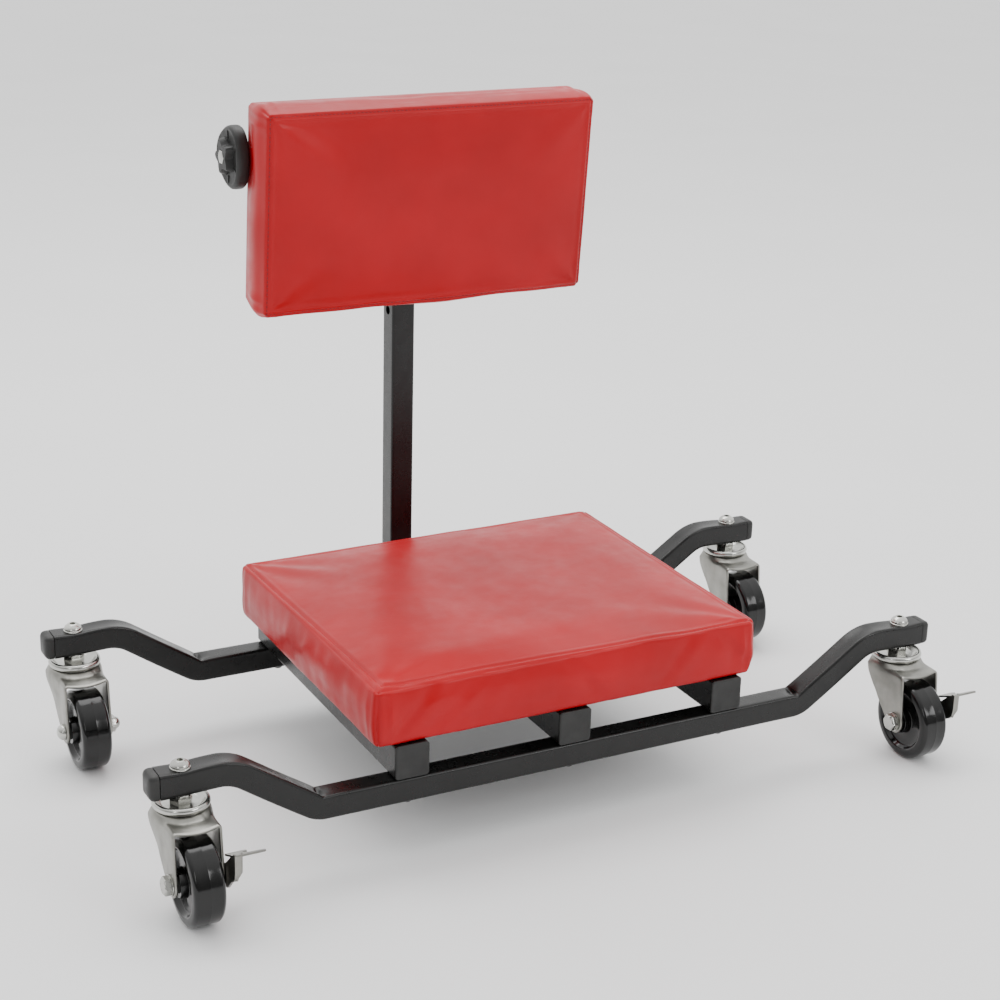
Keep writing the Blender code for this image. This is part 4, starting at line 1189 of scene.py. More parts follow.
    def _lever(self) -> None:
        """Stamped brake lever: hub plate, half-round front wall and two pedal prongs."""
        node = "brake_lever_" + self.where
        low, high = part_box(node)
        face = self.leg_face + 0.0003
        plate, reach = 0.0022, 0.0330
        axle = self.axle
        outline = [(0.0100 * math.cos(math.radians(a)), 0.0100 * math.sin(math.radians(a)))
                   for a in range(250, 415, 15)]
        outline += [(-0.0100, 0.0150), (-0.0180, 0.0225), (-0.0260, 0.0300), (-reach, 0.0325),
                    (-reach, 0.0175), (-0.0318, 0.0110), (-0.0285, 0.0070), (-0.0238, 0.0045),
                    (-0.0145, -0.0058)]
        lever = Draft().prism(outline, along_x(axle), face, face + plate)
        made = lever.piece("lever_press_" + self.where, Finish.ZINC)
        wall = []
        out, skin, arc = 0.0078, 0.0020, 10
        for radius in (out / 2, out / 2 - skin / 2):
            row = [(face + out / 2 + radius * math.cos(math.pi * (1 - k / arc)),
                    -reach + 0.0042 - radius * 1.25 * math.sin(math.pi * k / arc)) for k in range(arc + 1)]
            wall.append(row)
        strip = wall[0] + wall[1][::-1]
        sections = []
        for share in between(0.0, 1.0, 10):
            lift = 0.0085 + (0.0325 - 0.0085) * share
            tuck = 0.0030 * (1 - eased(share / 0.35))
            sections.append(([(x - tuck * eased((x - face) / out), y + tuck * 0.8) for x, y in strip], lift))
        skirt = Draft().sections(sections, Matrix.Translation(axle)).piece("skirt", Finish.ZINC)
        combine(made, skirt, "UNION")
        tip = high.x - axle.x
        roll = Matrix.Rotation(math.radians(-23), 4, "X")
        place = Matrix.Translation(axle + Vector((0, -reach, 0.0312))) @ roll
        prongs = [(face, 0.0), (tip - 0.0016, 0.0), (tip, 0.0014), (tip, 0.0044), (tip - 0.0016, 0.0062),
                  (face + 0.0140, 0.0082), (face + 0.0118, 0.0100), (face + 0.0118, 0.0160),
                  (face + 0.0140, 0.0182), (tip - 0.0115, 0.0190), (tip - 0.0100, 0.0204),
                  (tip - 0.0100, 0.0238), (tip - 0.0118, 0.0254), (face, 0.0254)]
        pedal = Draft().prism(prongs, place, 0.0, 0.0017).piece("pedal", Finish.ZINC)
        combine(made, pedal, "UNION")
        hole = Draft().turned([(0.0050, face - 0.002), (0.0050, face + 0.004)], along_x(axle), 40)
        combine(made, hole.piece("hole", Finish.ZINC))
        soften(made, 0.0004)
        self.hand_over(made, "brake_" + self.where, Finish.ZINC, node)


# ================================================================ cushions
@dataclass
class Cushion(Assembly):
    """A foam pad in a sewn vinyl cover that wraps over its board."""
    name: str = ""
    body: str = ""
    pad_node: str = ""
    board_node: str = ""
    width: float = 0.0
    depth: float = 0.0
    height: float = 0.0
    place: Matrix = field(default_factory=Matrix)
    edge: float = 0.004
    corner: float = 0.010
    swell: float = 0.004
    pressure: float = 4.0
    coarse: float = 0.009
    fine: float = 0.0055
    fill: float = 0.8
    stitch_pitch: float = 0.0042

    # ---- rest shape
    def _lines(self, half: float, spacing: float, band: float, thin: float) -> list[float]:
        """Grid coordinates across the pad, close together near both edges."""
        outer = []
        step = 0.0
        while step < band - 1e-6:
            outer.append(step)
            step += thin
        count = max(4, round(2 * (half - band) / spacing))
        middle = between(-half + band, half - band, count)
        return [-half + s for s in outer] + middle + [half - s for s in reversed(outer)]

    def _rounded(self, point: Vector) -> Vector:
        """Bring a point of the square box onto the eased box."""
        half = Vector((self.width / 2, self.depth / 2, self.height / 2))
        middle = Vector((0, 0, half.z))
        held = point - middle
        inner = Vector([max(-h + self.edge, min(h - self.edge, c)) for h, c in zip(half, held)])
        out = held - inner
        if out.length > 1e-9:
            out *= max(abs(c) for c in out) / out.length
        held = inner + out
        for radius in (self.corner,):
            core = Vector([max(-h + radius, min(h - radius, c)) for h, c in zip(half.xy, held.xy)])
            away = held.xy - core
            if away.length > 1e-9:
                away *= max(abs(away.x), abs(away.y)) / away.length
                held = Vector((core.x + away.x, core.y + away.y, held.z))
        return held + middle

    def _shell(self, spacing: float, band: float, thin: float, rise: int) -> tuple[list[Vector], list]:
        """Grid of the whole cover as points and quads, in the pad's own place."""
        a_lines = self._lines(self.width / 2, spacing, band, thin)
        b_lines = self._lines(self.depth / 2, spacing, band, thin)
        h_lines = sorted({0.0, self.edge * 0.4, self.edge, *between(self.edge, self.height - self.edge, rise),
                          self.height - self.edge * 0.65, self.height - self.edge * 0.3, self.height})
        na, nb, nh = len(a_lines) - 1, len(b_lines) - 1, len(h_lines) - 1
        found: dict[tuple[int, int, int], int] = {}
        points: list[Vector] = []

        def vertex(i: int, j: int, k: int) -> int:
            """Index of a grid point, added on its first use."""
            key = (i, j, k)
            if key not in found:
                found[key] = len(points)
                points.append(self._rounded(Vector((a_lines[i], b_lines[j], h_lines[k]))))
            return found[key]

        quads = []
        for i in range(na):
            for j in range(nb):
                quads.append([vertex(i, j, nh), vertex(i + 1, j, nh), vertex(i + 1, j + 1, nh),
                              vertex(i, j + 1, nh)])
                quads.append([vertex(i, j, 0), vertex(i, j + 1, 0), vertex(i + 1, j + 1, 0),
                              vertex(i + 1, j, 0)])
        for k in range(nh):
            for i in range(na):
                quads.append([vertex(i, 0, k), vertex(i + 1, 0, k), vertex(i + 1, 0, k + 1),
                              vertex(i, 0, k + 1)])
                quads.append([vertex(i + 1, nb, k), vertex(i, nb, k), vertex(i, nb, k + 1),
                              vertex(i + 1, nb, k + 1)])
            for j in range(nb):
                quads.append([vertex(0, j + 1, k), vertex(0, j, k), vertex(0, j, k + 1),
                              vertex(0, j + 1, k + 1)])
                quads.append([vertex(na, j, k), vertex(na, j + 1, k), vertex(na, j + 1, k + 1),
                              vertex(na, j, k + 1)])
        return points, quads

    # ---- simulation
    def _inflate(self) -> Callable[[Vector], Vector]:
        """Swell a coarse copy of the cover as cloth over its foam.

        Returns:
            A function from a rest point to how far the cloth has moved there.
        """
        points, quads = self._shell(self.coarse, 0.006, 0.003, 5)
        mesh = bpy.data.meshes.new(self.name + "_cloth")
        mesh.from_pydata(points, [], quads)
        cloth = bpy.data.objects.new(self.name + "_cloth", mesh)
        bpy.context.scene.collection.objects.link(cloth)
        held = cloth.vertex_groups.new(name="held")
        for k, point in enumerate(points):
            low = 1 - eased((point.z - 0.010) / 0.012)
            rim = self._rim_hold(point)
            held.add([k], max(low, rim), "REPLACE")
        step = cloth.modifiers.new("cloth", "CLOTH")
        settings = step.settings
        settings.quality = 6
        settings.mass = 0.3
        settings.tension_stiffness = settings.compression_stiffness = 18
        settings.shear_stiffness = 8
        settings.bending_stiffness = 0.6
        settings.use_pressure = True
        settings.uniform_pressure_force = self.pressure
        settings.effector_weights.gravity = 0
        settings.vertex_group_mass = "held"
        step.collision_settings.use_collision = False
        scene = bpy.context.scene
        for shot in range(1, 21):
            scene.frame_set(shot)
        depsgraph = bpy.context.evaluated_depsgraph_get()
        swollen = [v.co.copy() for v in cloth.evaluated_get(depsgraph).data.vertices]
        scene.frame_set(1)
        bpy.data.objects.remove(cloth, do_unlink=True)
        tree = kdtree.KDTree(len(points))
        moves = []
        for k, (before, after) in enumerate(zip(points, swollen)):
            tree.insert(before, k)
            move = after - before
            if move.length > self.swell:
                move *= self.swell / move.length
            moves.append(move)
        tree.balance()

        def measured(point: Vector) -> Vector:
            """Blend of the nearest cloth points' moves."""
            total, weights = Vector(), 0.0
            for _, index, gap in tree.find_n(point, 6):
                weight = 1 / (gap + 0.001) ** 2
                total += moves[index] * weight
                weights += weight
            return total / weights
        return measured

    def _rim_hold(self, point: Vector) -> float:
        """How firmly the top edge's seam holds the cloth."""
        edge = min(self.width / 2 - abs(point.x), self.depth / 2 - abs(point.y))
        if point.z < self.height - self.edge:
            return 0.0
        return 0.85 * hump(edge - self._inset(point), 0.005)

    # ---- what each cushion decides for itself
    def _inset(self, point: Vector) -> float:
        """Distance from the pad's edge to the seam."""
        return 0.004

    def _creases(self, point: Vector, outward: Vector) -> Vector:
        """How far the wrinkles move a point."""
        return Vector()

    def _clear(self, place: Vector) -> Vector:
        """Where a point ends up once it is pushed clear of its neighbours."""
        return place

    def _seam_line(self) -> list[Vector]:
        """Rest points along the top seam, once round the pad."""
        half_a, half_b = self.width / 2, self.depth / 2
        ring = []
        for start, end in (((-1, -1), (1, -1)), ((1, -1), (1, 1)), ((1, 1), (-1, 1)), ((-1, 1), (-1, -1))):
            for k in range(60):
                share = k / 60
                u = start[0] + (end[0] - start[0]) * share
                v = start[1] + (end[1] - start[1]) * share
                inset = self._inset(Vector((u * half_a, v * half_b, self.height)))
                ring.append(Vector((u * (half_a - inset), v * (half_b - inset), self.height)))
        return ring

    # ---- the cover
    def build(self) -> None:
        """Draw the cover, its stitches and its lining."""
        moved = self._inflate()
        points, quads = self._shell(self.fine, 0.0135, 0.00135, 8)
        seam = kdtree.KDTree(4 * 60 * 4)
        line = self._seam_line()
        dense = [a.lerp(b, k / 4) for a, b in zip(line, line[1:] + line[:1]) for k in range(4)]
        for k, place in enumerate(dense):
            seam.insert(place, k)
        seam.balance()
        half = Vector((self.width / 2, self.depth / 2, self.height / 2))

        def settled(point: Vector) -> Vector:
            """Final place of a rest point."""
            outward = self._outward(point, half)
            gap = seam.find(Vector((point.x, point.y, self.height)))[2]
            on_top = eased((point.z - self.height + 0.004) / 0.003)
            groove = -0.00150 * hump(gap, 0.0014) + 0.00060 * hump(gap - 0.0032, 0.0016)
            calm = 1 - 0.55 * hump(gap, 0.004) * on_top
            place = point + moved(point) * calm + self._creases(point, outward) * calm
            place += outward * groove * on_top
            place.z = max(place.z, 0.0)
            return self._clear(place)

        draft = Draft()
        made = draft.ring([self.place @ settled(point) for point in points])
        for quad in quads:
            draft.bm.faces.new([made[k] for k in quad])
        cover = draft.piece(self.name, Finish.VINYL, subdivide=1, sharp=80)
        self.hand_over(cover, self.body, Finish.VINYL, self.pad_node)
        self._stitch([self.place @ (settled(place) + Vector((0, 0, 0.00005))) for place in dense])
        self._lining()

    def _outward(self, point: Vector, half: Vector) -> Vector:
        """Direction that faces away from the pad at a rest point."""
        held = point - Vector((0, 0, half.z))
        inner = Vector([max(-h + self.edge, min(h - self.edge, c)) for h, c in zip(half, held)])
        out = held - inner
        return out.normalized() if out.length > 1e-7 else Vector((0, 0, 1))

    def _stitch(self, line: list[Vector]) -> None:
        """Sew the top seam."""
        tree, keys = NodeKit.row()
        path = path_object(self.name + "_stitches", [line], closed=True)
        thread = NodeKit.run(path, tree, keys, Finish.THREAD, seed=7, Pitch=self.stitch_pitch,
                             Length=self.stitch_pitch * 0.66, Width=0.0009, Height=0.0009, Tilt=0.10)
        shade(thread)
        self.hand_over(thread, self.body, Finish.VINYL)

    def _lining(self) -> None:
        """Cover the board's back with lining, stapled along its edge."""
        inset, skin = 0.016, 0.00022
        half_a, half_b = self.width / 2 - inset, self.depth / 2 - inset
        outline = soft_square(half_a, half_b, 0.006, 4, 10)
        inner = soft_square(half_a - 0.0004, half_b - 0.0004, 0.006, 4, 10)
        shapes = [(outline, 0.00004), (outline, -skin * 0.5), (inner, -skin)]
        lining = Draft().sections(shapes, self.place).piece(self.name + "_lining", Finish.LINING)
        self.hand_over(lining, self.body, Finish.PLASTIC)
        tree, keys = NodeKit.row()
        rows = self._staple_rows(half_a - 0.006, half_b - 0.006, -skin)
        path = path_object(self.name + "_staples", rows)
        staples = NodeKit.run(path, tree, keys, Finish.BRIGHT, seed=3, Pitch=0.026, Length=0.0095,
                              Width=0.0007, Height=0.0004, Tilt=0.20)
        shade(staples)
        self.hand_over(staples, self.body, Finish.ZINC)

    def _staple_rows(self, half_a: float, half_b: float, level: float) -> list[list[Vector]]:
        """Lines that the staples follow."""
        corners = [(-half_a, -half_b), (half_a, -half_b), (half_a, half_b), (-half_a, half_b)]
        rows = []
        for start, end in zip(corners, corners[1:] + corners[:1]):
            rows.append([self.place @ Vector((start[0] + (end[0] - start[0]) * s,
                                              start[1] + (end[1] - start[1]) * s, level))
                         for s in (0.03, 0.5, 0.97)])
        return rows


@dataclass
class SeatCushion(Cushion):
    """The seat: a box cushion whose boxing rolls over its near edge."""

    @classmethod
    def measured(cls) -> "SeatCushion":
        """Take the seat's place and size from its nodes."""
        low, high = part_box("seat_cushion")
        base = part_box("seat_board")[0].z + 0.0001
        place = Matrix.Translation(((low.x + high.x) / 2, (low.y + high.y) / 2, base))
        return cls(name="seat_cover", body="frame", pad_node="seat_cushion", board_node="seat_board",
                   width=high.x - low.x + 0.0028, depth=high.y - low.y + 0.0028,
                   height=high.z - base - 0.0006, place=place, edge=0.0046, corner=0.0065,
                   swell=0.0052, pressure=6.0, fill=0.85)

    def _inset(self, point: Vector) -> float:
        """The seam runs in from the edge towards the near left corner."""
        right = point.x / self.width + 0.5
        rear = point.y / self.depth + 0.5
        return 0.0034 + 0.0056 * (1 - eased(max(right, rear) / 0.95))

    def _creases(self, point: Vector, outward: Vector) -> Vector:
        """Drag lines from the corners, slack on the near side, a wavy hem."""
        half_a, half_b = self.width / 2, self.depth / 2
        move = 0.0
        if outward.z > 0.6:
            for sa, sb, size, turn in ((1, -1, 0.00120, 0.25), (-1, 1, 0.00115, -0.1),
                                       (-1, -1, 0.00055, 0.2), (1, 1, 0.00060, 0.0)):
                away = Vector((half_a - sa * point.x, half_b - sb * point.y))
                reach = away.length
                angle = math.atan2(away.y, away.x) - math.pi / 4 + turn
                ray = math.cos(angle * 11.0 + reach * 9.0) * hump(angle, 0.62)
                move += size * ray * eased(reach / 0.03) * hump(max(reach - 0.05, 0.0), 0.060)
            move += 0.0011 * noise.noise(Vector((point.x * 14, point.y * 9, 0.3)))
            move += 0.0005 * noise.noise(Vector((point.x * 38, point.y * 30, 1.7)))
            pucker = (Vector((-half_a + 0.012, -half_b + 0.011)) - point.xy).length
            move += 0.0016 * hump(pucker, 0.0065) - 0.0010 * hump(pucker - 0.012, 0.005)
            for sag, where in ((0.0016, -0.062), (0.0011, 0.048), (0.0013, 0.120)):
                move -= sag * hump(point.x - where, 0.022) * hump(point.y + half_b, 0.010)
        else:
            run = point.x if abs(outward.y) > abs(outward.x) else point.y + 3.0
            fade = math.sin(math.pi * min(max(point.z / self.height, 0.0), 1.0)) ** 0.6
            slant = run * 26 + point.z * 30
            move += 0.0020 * fade
            for tuck, lean, depth in ((-0.158, 0.9, 0.0026), (-0.120, 1.1, 0.0016), (0.012, -0.8, 0.0017),
                                      (0.105, 0.7, 0.0014), (0.168, -1.0, 0.0024)):
                away = point.x - tuck - lean * (point.z - self.height / 2)
                near_side = 1.0 if outward.y < -0.3 else 0.35
                move -= depth * fade * near_side * hump(away, 0.0065)
                move += 0.6 * depth * fade * near_side * hump(away - 0.011, 0.0075)
            move += 0.0019 * fade * noise.noise(Vector((slant, point.z * 22, 2.0)))
            move += 0.0010 * fade * noise.noise(Vector((run * 70, point.z * 35, 5.0)))
            ends = min(half_a - abs(point.x), half_b - abs(point.y))
            along = half_a - abs(point.x) if abs(outward.y) > abs(outward.x) else half_b - abs(point.y)
            move += 0.0009 * fade * hump(along - 0.018, 0.010) * math.cos(along * 420)
            move -= 0.0004 * hump(ends - 0.05, 0.04) * fade
        hem = 0.0008 * (1 + noise.noise(Vector((point.x * 24, point.y * 24, 8.0))))
        hem *= 1 - eased(point.z / 0.010)
        side = 1 - abs(outward.z)
        return outward * move + Vector((0, 0, hem * side))

    def _staple_rows(self, half_a: float, half_b: float, level: float) -> list[list[Vector]]:
        """Rows between the cross tubes only."""
        rows = []
        for label_left, label_right in ((None, "left"), ("left", "middle"), ("middle", "right"),
                                        ("right", None)):
            start = -half_a
            if label_left:
                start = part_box("cross_tube_" + label_left)[1].x - self.place.translation.x + 0.008
            end = half_a
            if label_right:
                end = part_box("cross_tube_" + label_right)[0].x - self.place.translation.x - 0.008
            for v in (-half_b, half_b):
                rows.append([self.place @ Vector((u, v, level)) for u in (start, end)])
        for u in (-half_a, half_a):
            rows.append([self.place @ Vector((u, v, level)) for v in (-half_b * 0.92, half_b * 0.92)])
        return rows


@dataclass
class BackCushion(Cushion):
    """The backrest: a flat front panel sewn to a bulging boxing."""
    bulge: float = 0.0040

    @classmethod
    def measured(cls) -> "BackCushion":
        """Take the backrest's place, size and lean from its nodes."""
        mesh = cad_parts["back_cushion"].data
        face = max(mesh.polygons, key=lambda f: f.area if f.normal.y < -0.9 else 0.0)
        front = face.normal.copy()
        right = Vector((1, 0, 0))
        up = front.cross(right)
        points = [v.co for v in mesh.vertices]
        board = [v.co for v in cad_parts["back_board"].data.vertices]
        spans = [(min(p.dot(axis) for p in points), max(p.dot(axis) for p in points))
                 for axis in (right, up, front)]
        rear = sorted({round(p.dot(front), 4) for p in board})
        rear_face = next(level for level in rear if level > spans[2][0] - 0.0115)
        (a0, a1), (b0, b1), (_, w1) = spans
        origin = right * (a0 + a1) / 2 + up * (b0 + b1) / 2 + front * (rear_face - 0.0001)
        return cls(name="backrest_cover", body="backrest", pad_node="back_cushion",
                   board_node="back_board", width=a1 - a0 + 0.0030, depth=b1 - b0 + 0.0010,
                   height=w1 - rear_face - 0.0022, place=axes_at(origin, right, up), edge=0.0030,
                   corner=0.0045, swell=0.0052, fill=0.85, stitch_pitch=0.0040)

    def _inset(self, point: Vector) -> float:
        """The seam is close to the front edge."""
        return 0.0018

    def _clear(self, place: Vector) -> Vector:
        """Keep the side behind the knob flat, so that the knob turns freely."""
        low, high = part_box("tilt_knob")
        centre = (low + high) / 2
        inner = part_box("tilt_washer")[0].x - 0.0003
        knob = self.place.inverted() @ Vector((inner, centre.y, centre.z))
        reach = math.hypot(place.y - knob.y, place.z - knob.z)
        near_knob = 1 - eased((reach - (high.z - low.z) / 2 - 0.004) / 0.012)
        limit = knob.x + 0.0012
        if place.x < limit:
            place.x += (limit - place.x) * near_knob
        return place

    def _creases(self, point: Vector, outward: Vector) -> Vector:
        """Bulging boxing, corner darts and a wavy lower edge."""
        half_a, half_b = self.width / 2, self.depth / 2
        share = min(max(point.z / self.height, 0.0), 1.0)
        move = 0.0
        sink = Vector()
        if outward.z > 0.6:
            for sa, sb, size in ((-1, 1, 0.00110), (1, 1, 0.00060), (-1, -1, 0.00075), (1, -1, 0.00090)):
                away = Vector((half_a - sa * point.x, half_b - sb * point.y))
                reach = away.length
                angle = math.atan2(away.y, away.x) - math.pi / 4
                ray = math.cos(angle * 8.0) * hump(angle, 0.5)
                move += size * ray * eased(reach / 0.02) * hump(max(reach - 0.03, 0.0), 0.05)
            drag = Vector((point.x + half_a - 0.040, half_b - point.y - 0.032))
            along, across = (drag.x + drag.y) * 0.70711, (drag.x - drag.y) * 0.70711
            move += 0.0016 * hump(across, 0.010) * hump(along, 0.034)
            move -= 0.0012 * hump(across - 0.016, 0.010) * hump(along, 0.030)
            move += 0.0008 * noise.noise(Vector((point.x * 11, point.y * 13, 4.3)))
            move += 0.0004 * noise.noise(Vector((point.x * 34, point.y * 30, 6.1)))
        else:
            run = point.x if abs(outward.y) > abs(outward.x) else point.y + 2.0
            arch = (math.sin(math.pi * share ** 1.35)) if share < 1 else 0.0
            move += self.bulge * max(arch, 0.0)
            folds = 1.0 if outward.y > 0.5 else 0.5
            move -= 0.0024 * folds * hump(share - 0.42 + 0.5 * point.x, 0.07) * eased((point.x + 0.10) / 0.05)
            move -= 0.0018 * folds * hump(share - 0.70 + 0.9 * point.x, 0.06)
            move += 0.0014 * arch * noise.noise(Vector((run * 22, point.z * 40, 3.0)))
            along = half_a - abs(point.x) if abs(outward.y) > abs(outward.x) else half_b - abs(point.y)
            move += 0.0008 * arch * hump(along - 0.015, 0.009) * math.cos(along * 460)
        low_edge = hump(point.y + half_b, 0.012) * eased((point.z - 0.004) / 0.01)
        sink.y -= 0.0022 * low_edge * (0.4 + noise.noise(Vector((point.x * 17, 0.0, 1.0))))
        sink.y -= 0.0026 * low_edge * hump(point.x - 0.020, 0.030)
        return outward * move + sink


# ================================================================ backrest gear
@dataclass
class BackrestGear(Assembly):
    """Post, sliding head, tilt knob, height pin, board lugs and washer."""
    post_corner: float = 0.0027
    hole_radius: float = 0.0045
    hole_lowest: float = 0.381
    hole_pitch: float = 0.024
    holes: int = 5
    bend_radius: float = 0.036
    post_wall: float = 0.002

    def build(self) -> None:
        """Draw all of it."""
        self._post()
        self._head()
        self._knob()
        self._pin()
        self._lugs()
        for node, finish in (("tilt_washer", Finish.BRIGHT), ("seat_board", Finish.PLY)):
            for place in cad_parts[node].material_slots:
                place.material = finish.material

    def _tube_rings(self, places: Sequence[tuple[Vector, Vector]], size: float, wall: float,
                    corner: float) -> list[list[Vector]]:
        """Outer and inner rings of a hollow square tube.

        Args:
            places: each station's point and direction, in the plane of Y and Z.
            size: outer size.
            wall: wall thickness.
            corner: outer corner radius.

        Returns:
            Rings that loop round the wall.
        """
        outer = soft_square(size / 2, size / 2, corner, 5, 4)
        inner = soft_square(size / 2 - wall, size / 2 - wall, max(corner - wall, 0.0006), 5, 4)
        rings = []
        for outline, stations in ((outer, places), (inner, list(reversed(places)))):
            for point, tangent in stations:
                side = Vector((1, 0, 0))
                up = tangent.cross(side)
                rings.append([point + side * u + up * v for u, v in outline])
        return rings

    def _post(self) -> None:
        """L-shaped post with its row of holes."""
        low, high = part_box("back_post")
        size = high.x - low.x
        x, y = (low.x + high.x) / 2, high.y - size / 2
        z = low.z + size / 2
        trim = self.bend_radius
        stations = [(Vector((x, yy, z)), Vector((0, 1, 0))) for yy in between(low.y, y - trim, 8)]
        for step in range(1, 16):
            angle = math.pi / 2 * step / 16
            stations.append((Vector((x, y - trim + trim * math.sin(angle), z + trim * (1 - math.cos(angle)))),
                             Vector((0, math.cos(angle), math.sin(angle)))))
        stations += [(Vector((x, y, zz)), Vector((0, 0, 1))) for zz in between(z + trim, high.z, 12)]
        tube = Draft().loft(self._tube_rings(stations, size, self.post_wall, self.post_corner), True)
        post = tube.piece("backrest_post", Finish.PAINT)
        for k in range(self.holes):
            height = self.hole_lowest + self.hole_pitch * k
            drill = Draft().turned([(self.hole_radius, -size), (self.hole_radius, -size * 0.2)],
                                   along_x(Vector((x, y, height))), 32).piece("drill", Finish.PAINT)
            combine(post, drill)
        self.hand_over(post, "frame", Finish.PAINT, "back_post")

    def _head(self) -> None:
        """Sleeve with a welded block and the tilt bar."""
        low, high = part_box("back_head")
        post_low, post_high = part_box("back_post")
        x, y = (post_low.x + post_high.x) / 2, post_high.y - (post_high.x - post_low.x) / 2
        half = high.y - y
        stations = [(Vector((x, y, zz)), Vector((0, 0, 1))) for zz in between(low.z, high.z, 6)]
        sleeve = Draft().loft(self._tube_rings(stations, 2 * half, 0.0030, 0.0040), True)
        head = sleeve.piece("sliding_head", Finish.PAINT)
        bar_y, bar_z, radius = self._bar()
        block = Draft().block((x - 0.017, low.y, bar_z - 0.013), (x + 0.017, y - half + 0.0015, bar_z + 0.013))
        combine(head, block.piece("block", Finish.PAINT, bevel=0.0016, segments=3), "UNION")
        bar = Draft().turned([(radius * 0.9, low.x - x), (radius, low.x - x + 0.0008),
                              (radius, high.x - x - 0.0008), (radius * 0.9, high.x - x)],
                             along_x(Vector((x, bar_y, bar_z))), 48)
        combine(head, bar.piece("bar", Finish.PAINT), "UNION")
        for sign in (-1, 1):
            bead = Draft().turned([(radius + 0.0001, sign * 0.0195), (radius + 0.0013, sign * 0.0183),
                                   (radius + 0.0022, sign * 0.0168), (radius + 0.0022, sign * 0.0160)],
                                  along_x(Vector((x, bar_y, bar_z))), 40)
            combine(head, bead.piece("bead", Finish.PAINT), "UNION")
        pin_low, pin_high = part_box("height_pin")
        hole = Draft().turned([(0.0044, -half - 0.002), (0.0044, -half + 0.005)],
                              along_x(Vector((x, y, (pin_low.z + pin_high.z) / 2))), 32)
        combine(head, hole.piece("hole", Finish.PAINT))
        self.hand_over(head, "head", Finish.PAINT, "back_head")

    def _bar(self) -> tuple[float, float, float]:
        """Y, Z and radius of the tilt bar, from its washer."""
        low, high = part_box("tilt_washer")
        return (low.y + high.y) / 2, (low.z + high.z) / 2, 0.006

    def _knob(self) -> None:
        """Three-lobed clamping knob with ribs and a metal end."""
        low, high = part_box("tilt_knob")
        bar_y, bar_z, _ = self._bar()
        inner = high.x - 0.012
        place = along_x(Vector((inner, bar_y, bar_z)))
        radius, width, boss = 0.031, 0.013, 0.006
        steps = 120

        def lobed(scale: float) -> Outline:
            """Outline of the knob with three soft lobes."""
            points = []
            for u, v in circle(radius * scale, steps):
                angle = math.atan2(v, u)
                share = 1 + 0.06 * (math.cos(3 * angle) - 1)
                points.append((u * share, v * share))
            return points

        def star(reach: float) -> Outline:
            """Outline of the hub with five blunt points."""
            points = []
            for u, v in circle(reach, steps):
                share = 1 - 0.34 * (0.5 - 0.5 * math.cos(5 * math.atan2(v, u))) ** 0.7
                points.append((u * share, v * share))
            return points

        shapes = [(circle(0.0030, steps), 0.012), (circle(0.0030, steps), 0.0), (lobed(0.55), 0.0),
                  (lobed(0.86), 0.0), (lobed(0.95), -0.0008), (lobed(0.99), -0.0024), (lobed(1.0), -0.0045),
                  (lobed(1.0), -width + 0.0045), (lobed(0.985), -width + 0.0020), (lobed(0.94), -width + 0.0006),
                  (lobed(0.90), -width), (lobed(0.86), -width + 0.0002), (lobed(0.80), -width + 0.0010),
                  (lobed(0.60), -width + 0.0014), (star(0.0190), -width + 0.0012),
                  (star(0.0172), -width - boss + 0.0016), (star(0.0158), -width - boss),
                  (circle(0.0068, steps), -width - boss), (circle(0.0066, steps), -width - boss + 0.0025)]
        knob = Draft().sections(shapes, place).piece("clamp_knob", Finish.PLASTIC, sharp=50)
        self.hand_over(knob, "knob", Finish.PLASTIC, "tilt_knob")
        draft = Draft()
        for k in range(6):
            angle = math.pi / 3 * k + math.pi / 6
            spoke = place @ Matrix.Rotation(angle, 4, "Z")
            draft.sections([(soft_square(0.0040, 0.0014, 0.0006, 3), -width + 0.0020),
                            (soft_square(0.0038, 0.0012, 0.0006, 3), -width + 0.0004),
                            (soft_square(0.0033, 0.0008, 0.0005, 3), -width + 0.0001)],
                           spoke @ Matrix.Translation((0.0212, 0, 0)))
        ribs = draft.piece("clamp_knob_ribs", Finish.PLASTIC)
        self.hand_over(ribs, "knob", Finish.PLASTIC)
        cap = Draft().sections([(polygon(0.0118, 6, 48), -width - boss + 0.0024),
                                (polygon(0.0118, 6, 48), -width - boss - 0.0001),
                                (circle(0.0054, 48), -width - boss - 0.0006),
                                (circle(0.0030, 48), -width - boss - 0.0009)], place)
        metal = cap.piece("clamp_knob_nut", Finish.BRIGHT)
        self.hand_over(metal, "knob", Finish.ZINC)

    def _pin(self) -> None:
        """Height pin with a waisted, ribbed grip."""
        low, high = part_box("height_pin")
        middle = (low + high) / 2
        place = along_x(Vector((low.x, middle.y, middle.z)))
        radius, steps = (high.z - low.z) / 2, 96

        def ribbed(scale: float, depth: float) -> Outline:
            """Grip outline with fine ribs."""
            points = []
            for u, v in circle(radius * scale, steps):
                share = 1 - depth * (0.5 + 0.5 * math.cos(16 * math.atan2(v, u)))
                points.append((u * share, v * share))
            return points

        length = high.x - low.x
        shapes = [(ribbed(0.50, 0.0), 0.0), (ribbed(0.78, 0.0), 0.0004), (ribbed(0.92, 0.03), 0.0016),
                  (ribbed(1.0, 0.06), 0.0032), (ribbed(1.0, 0.06), 0.0085), (ribbed(0.92, 0.04), 0.0100),
                  (ribbed(0.68, 0.0), 0.0114), (ribbed(0.62, 0.0), 0.0125), (ribbed(0.62, 0.0), 0.0160),
                  (circle(0.0038, steps), 0.0160), (circle(0.0038, steps), length - 0.0008),
                  (circle(0.0032, steps), length)]
        pin = Draft().sections(shapes, place).piece("height_pull_pin", Finish.PLASTIC)
        self.hand_over(pin, "pin", Finish.PLASTIC, "height_pin")

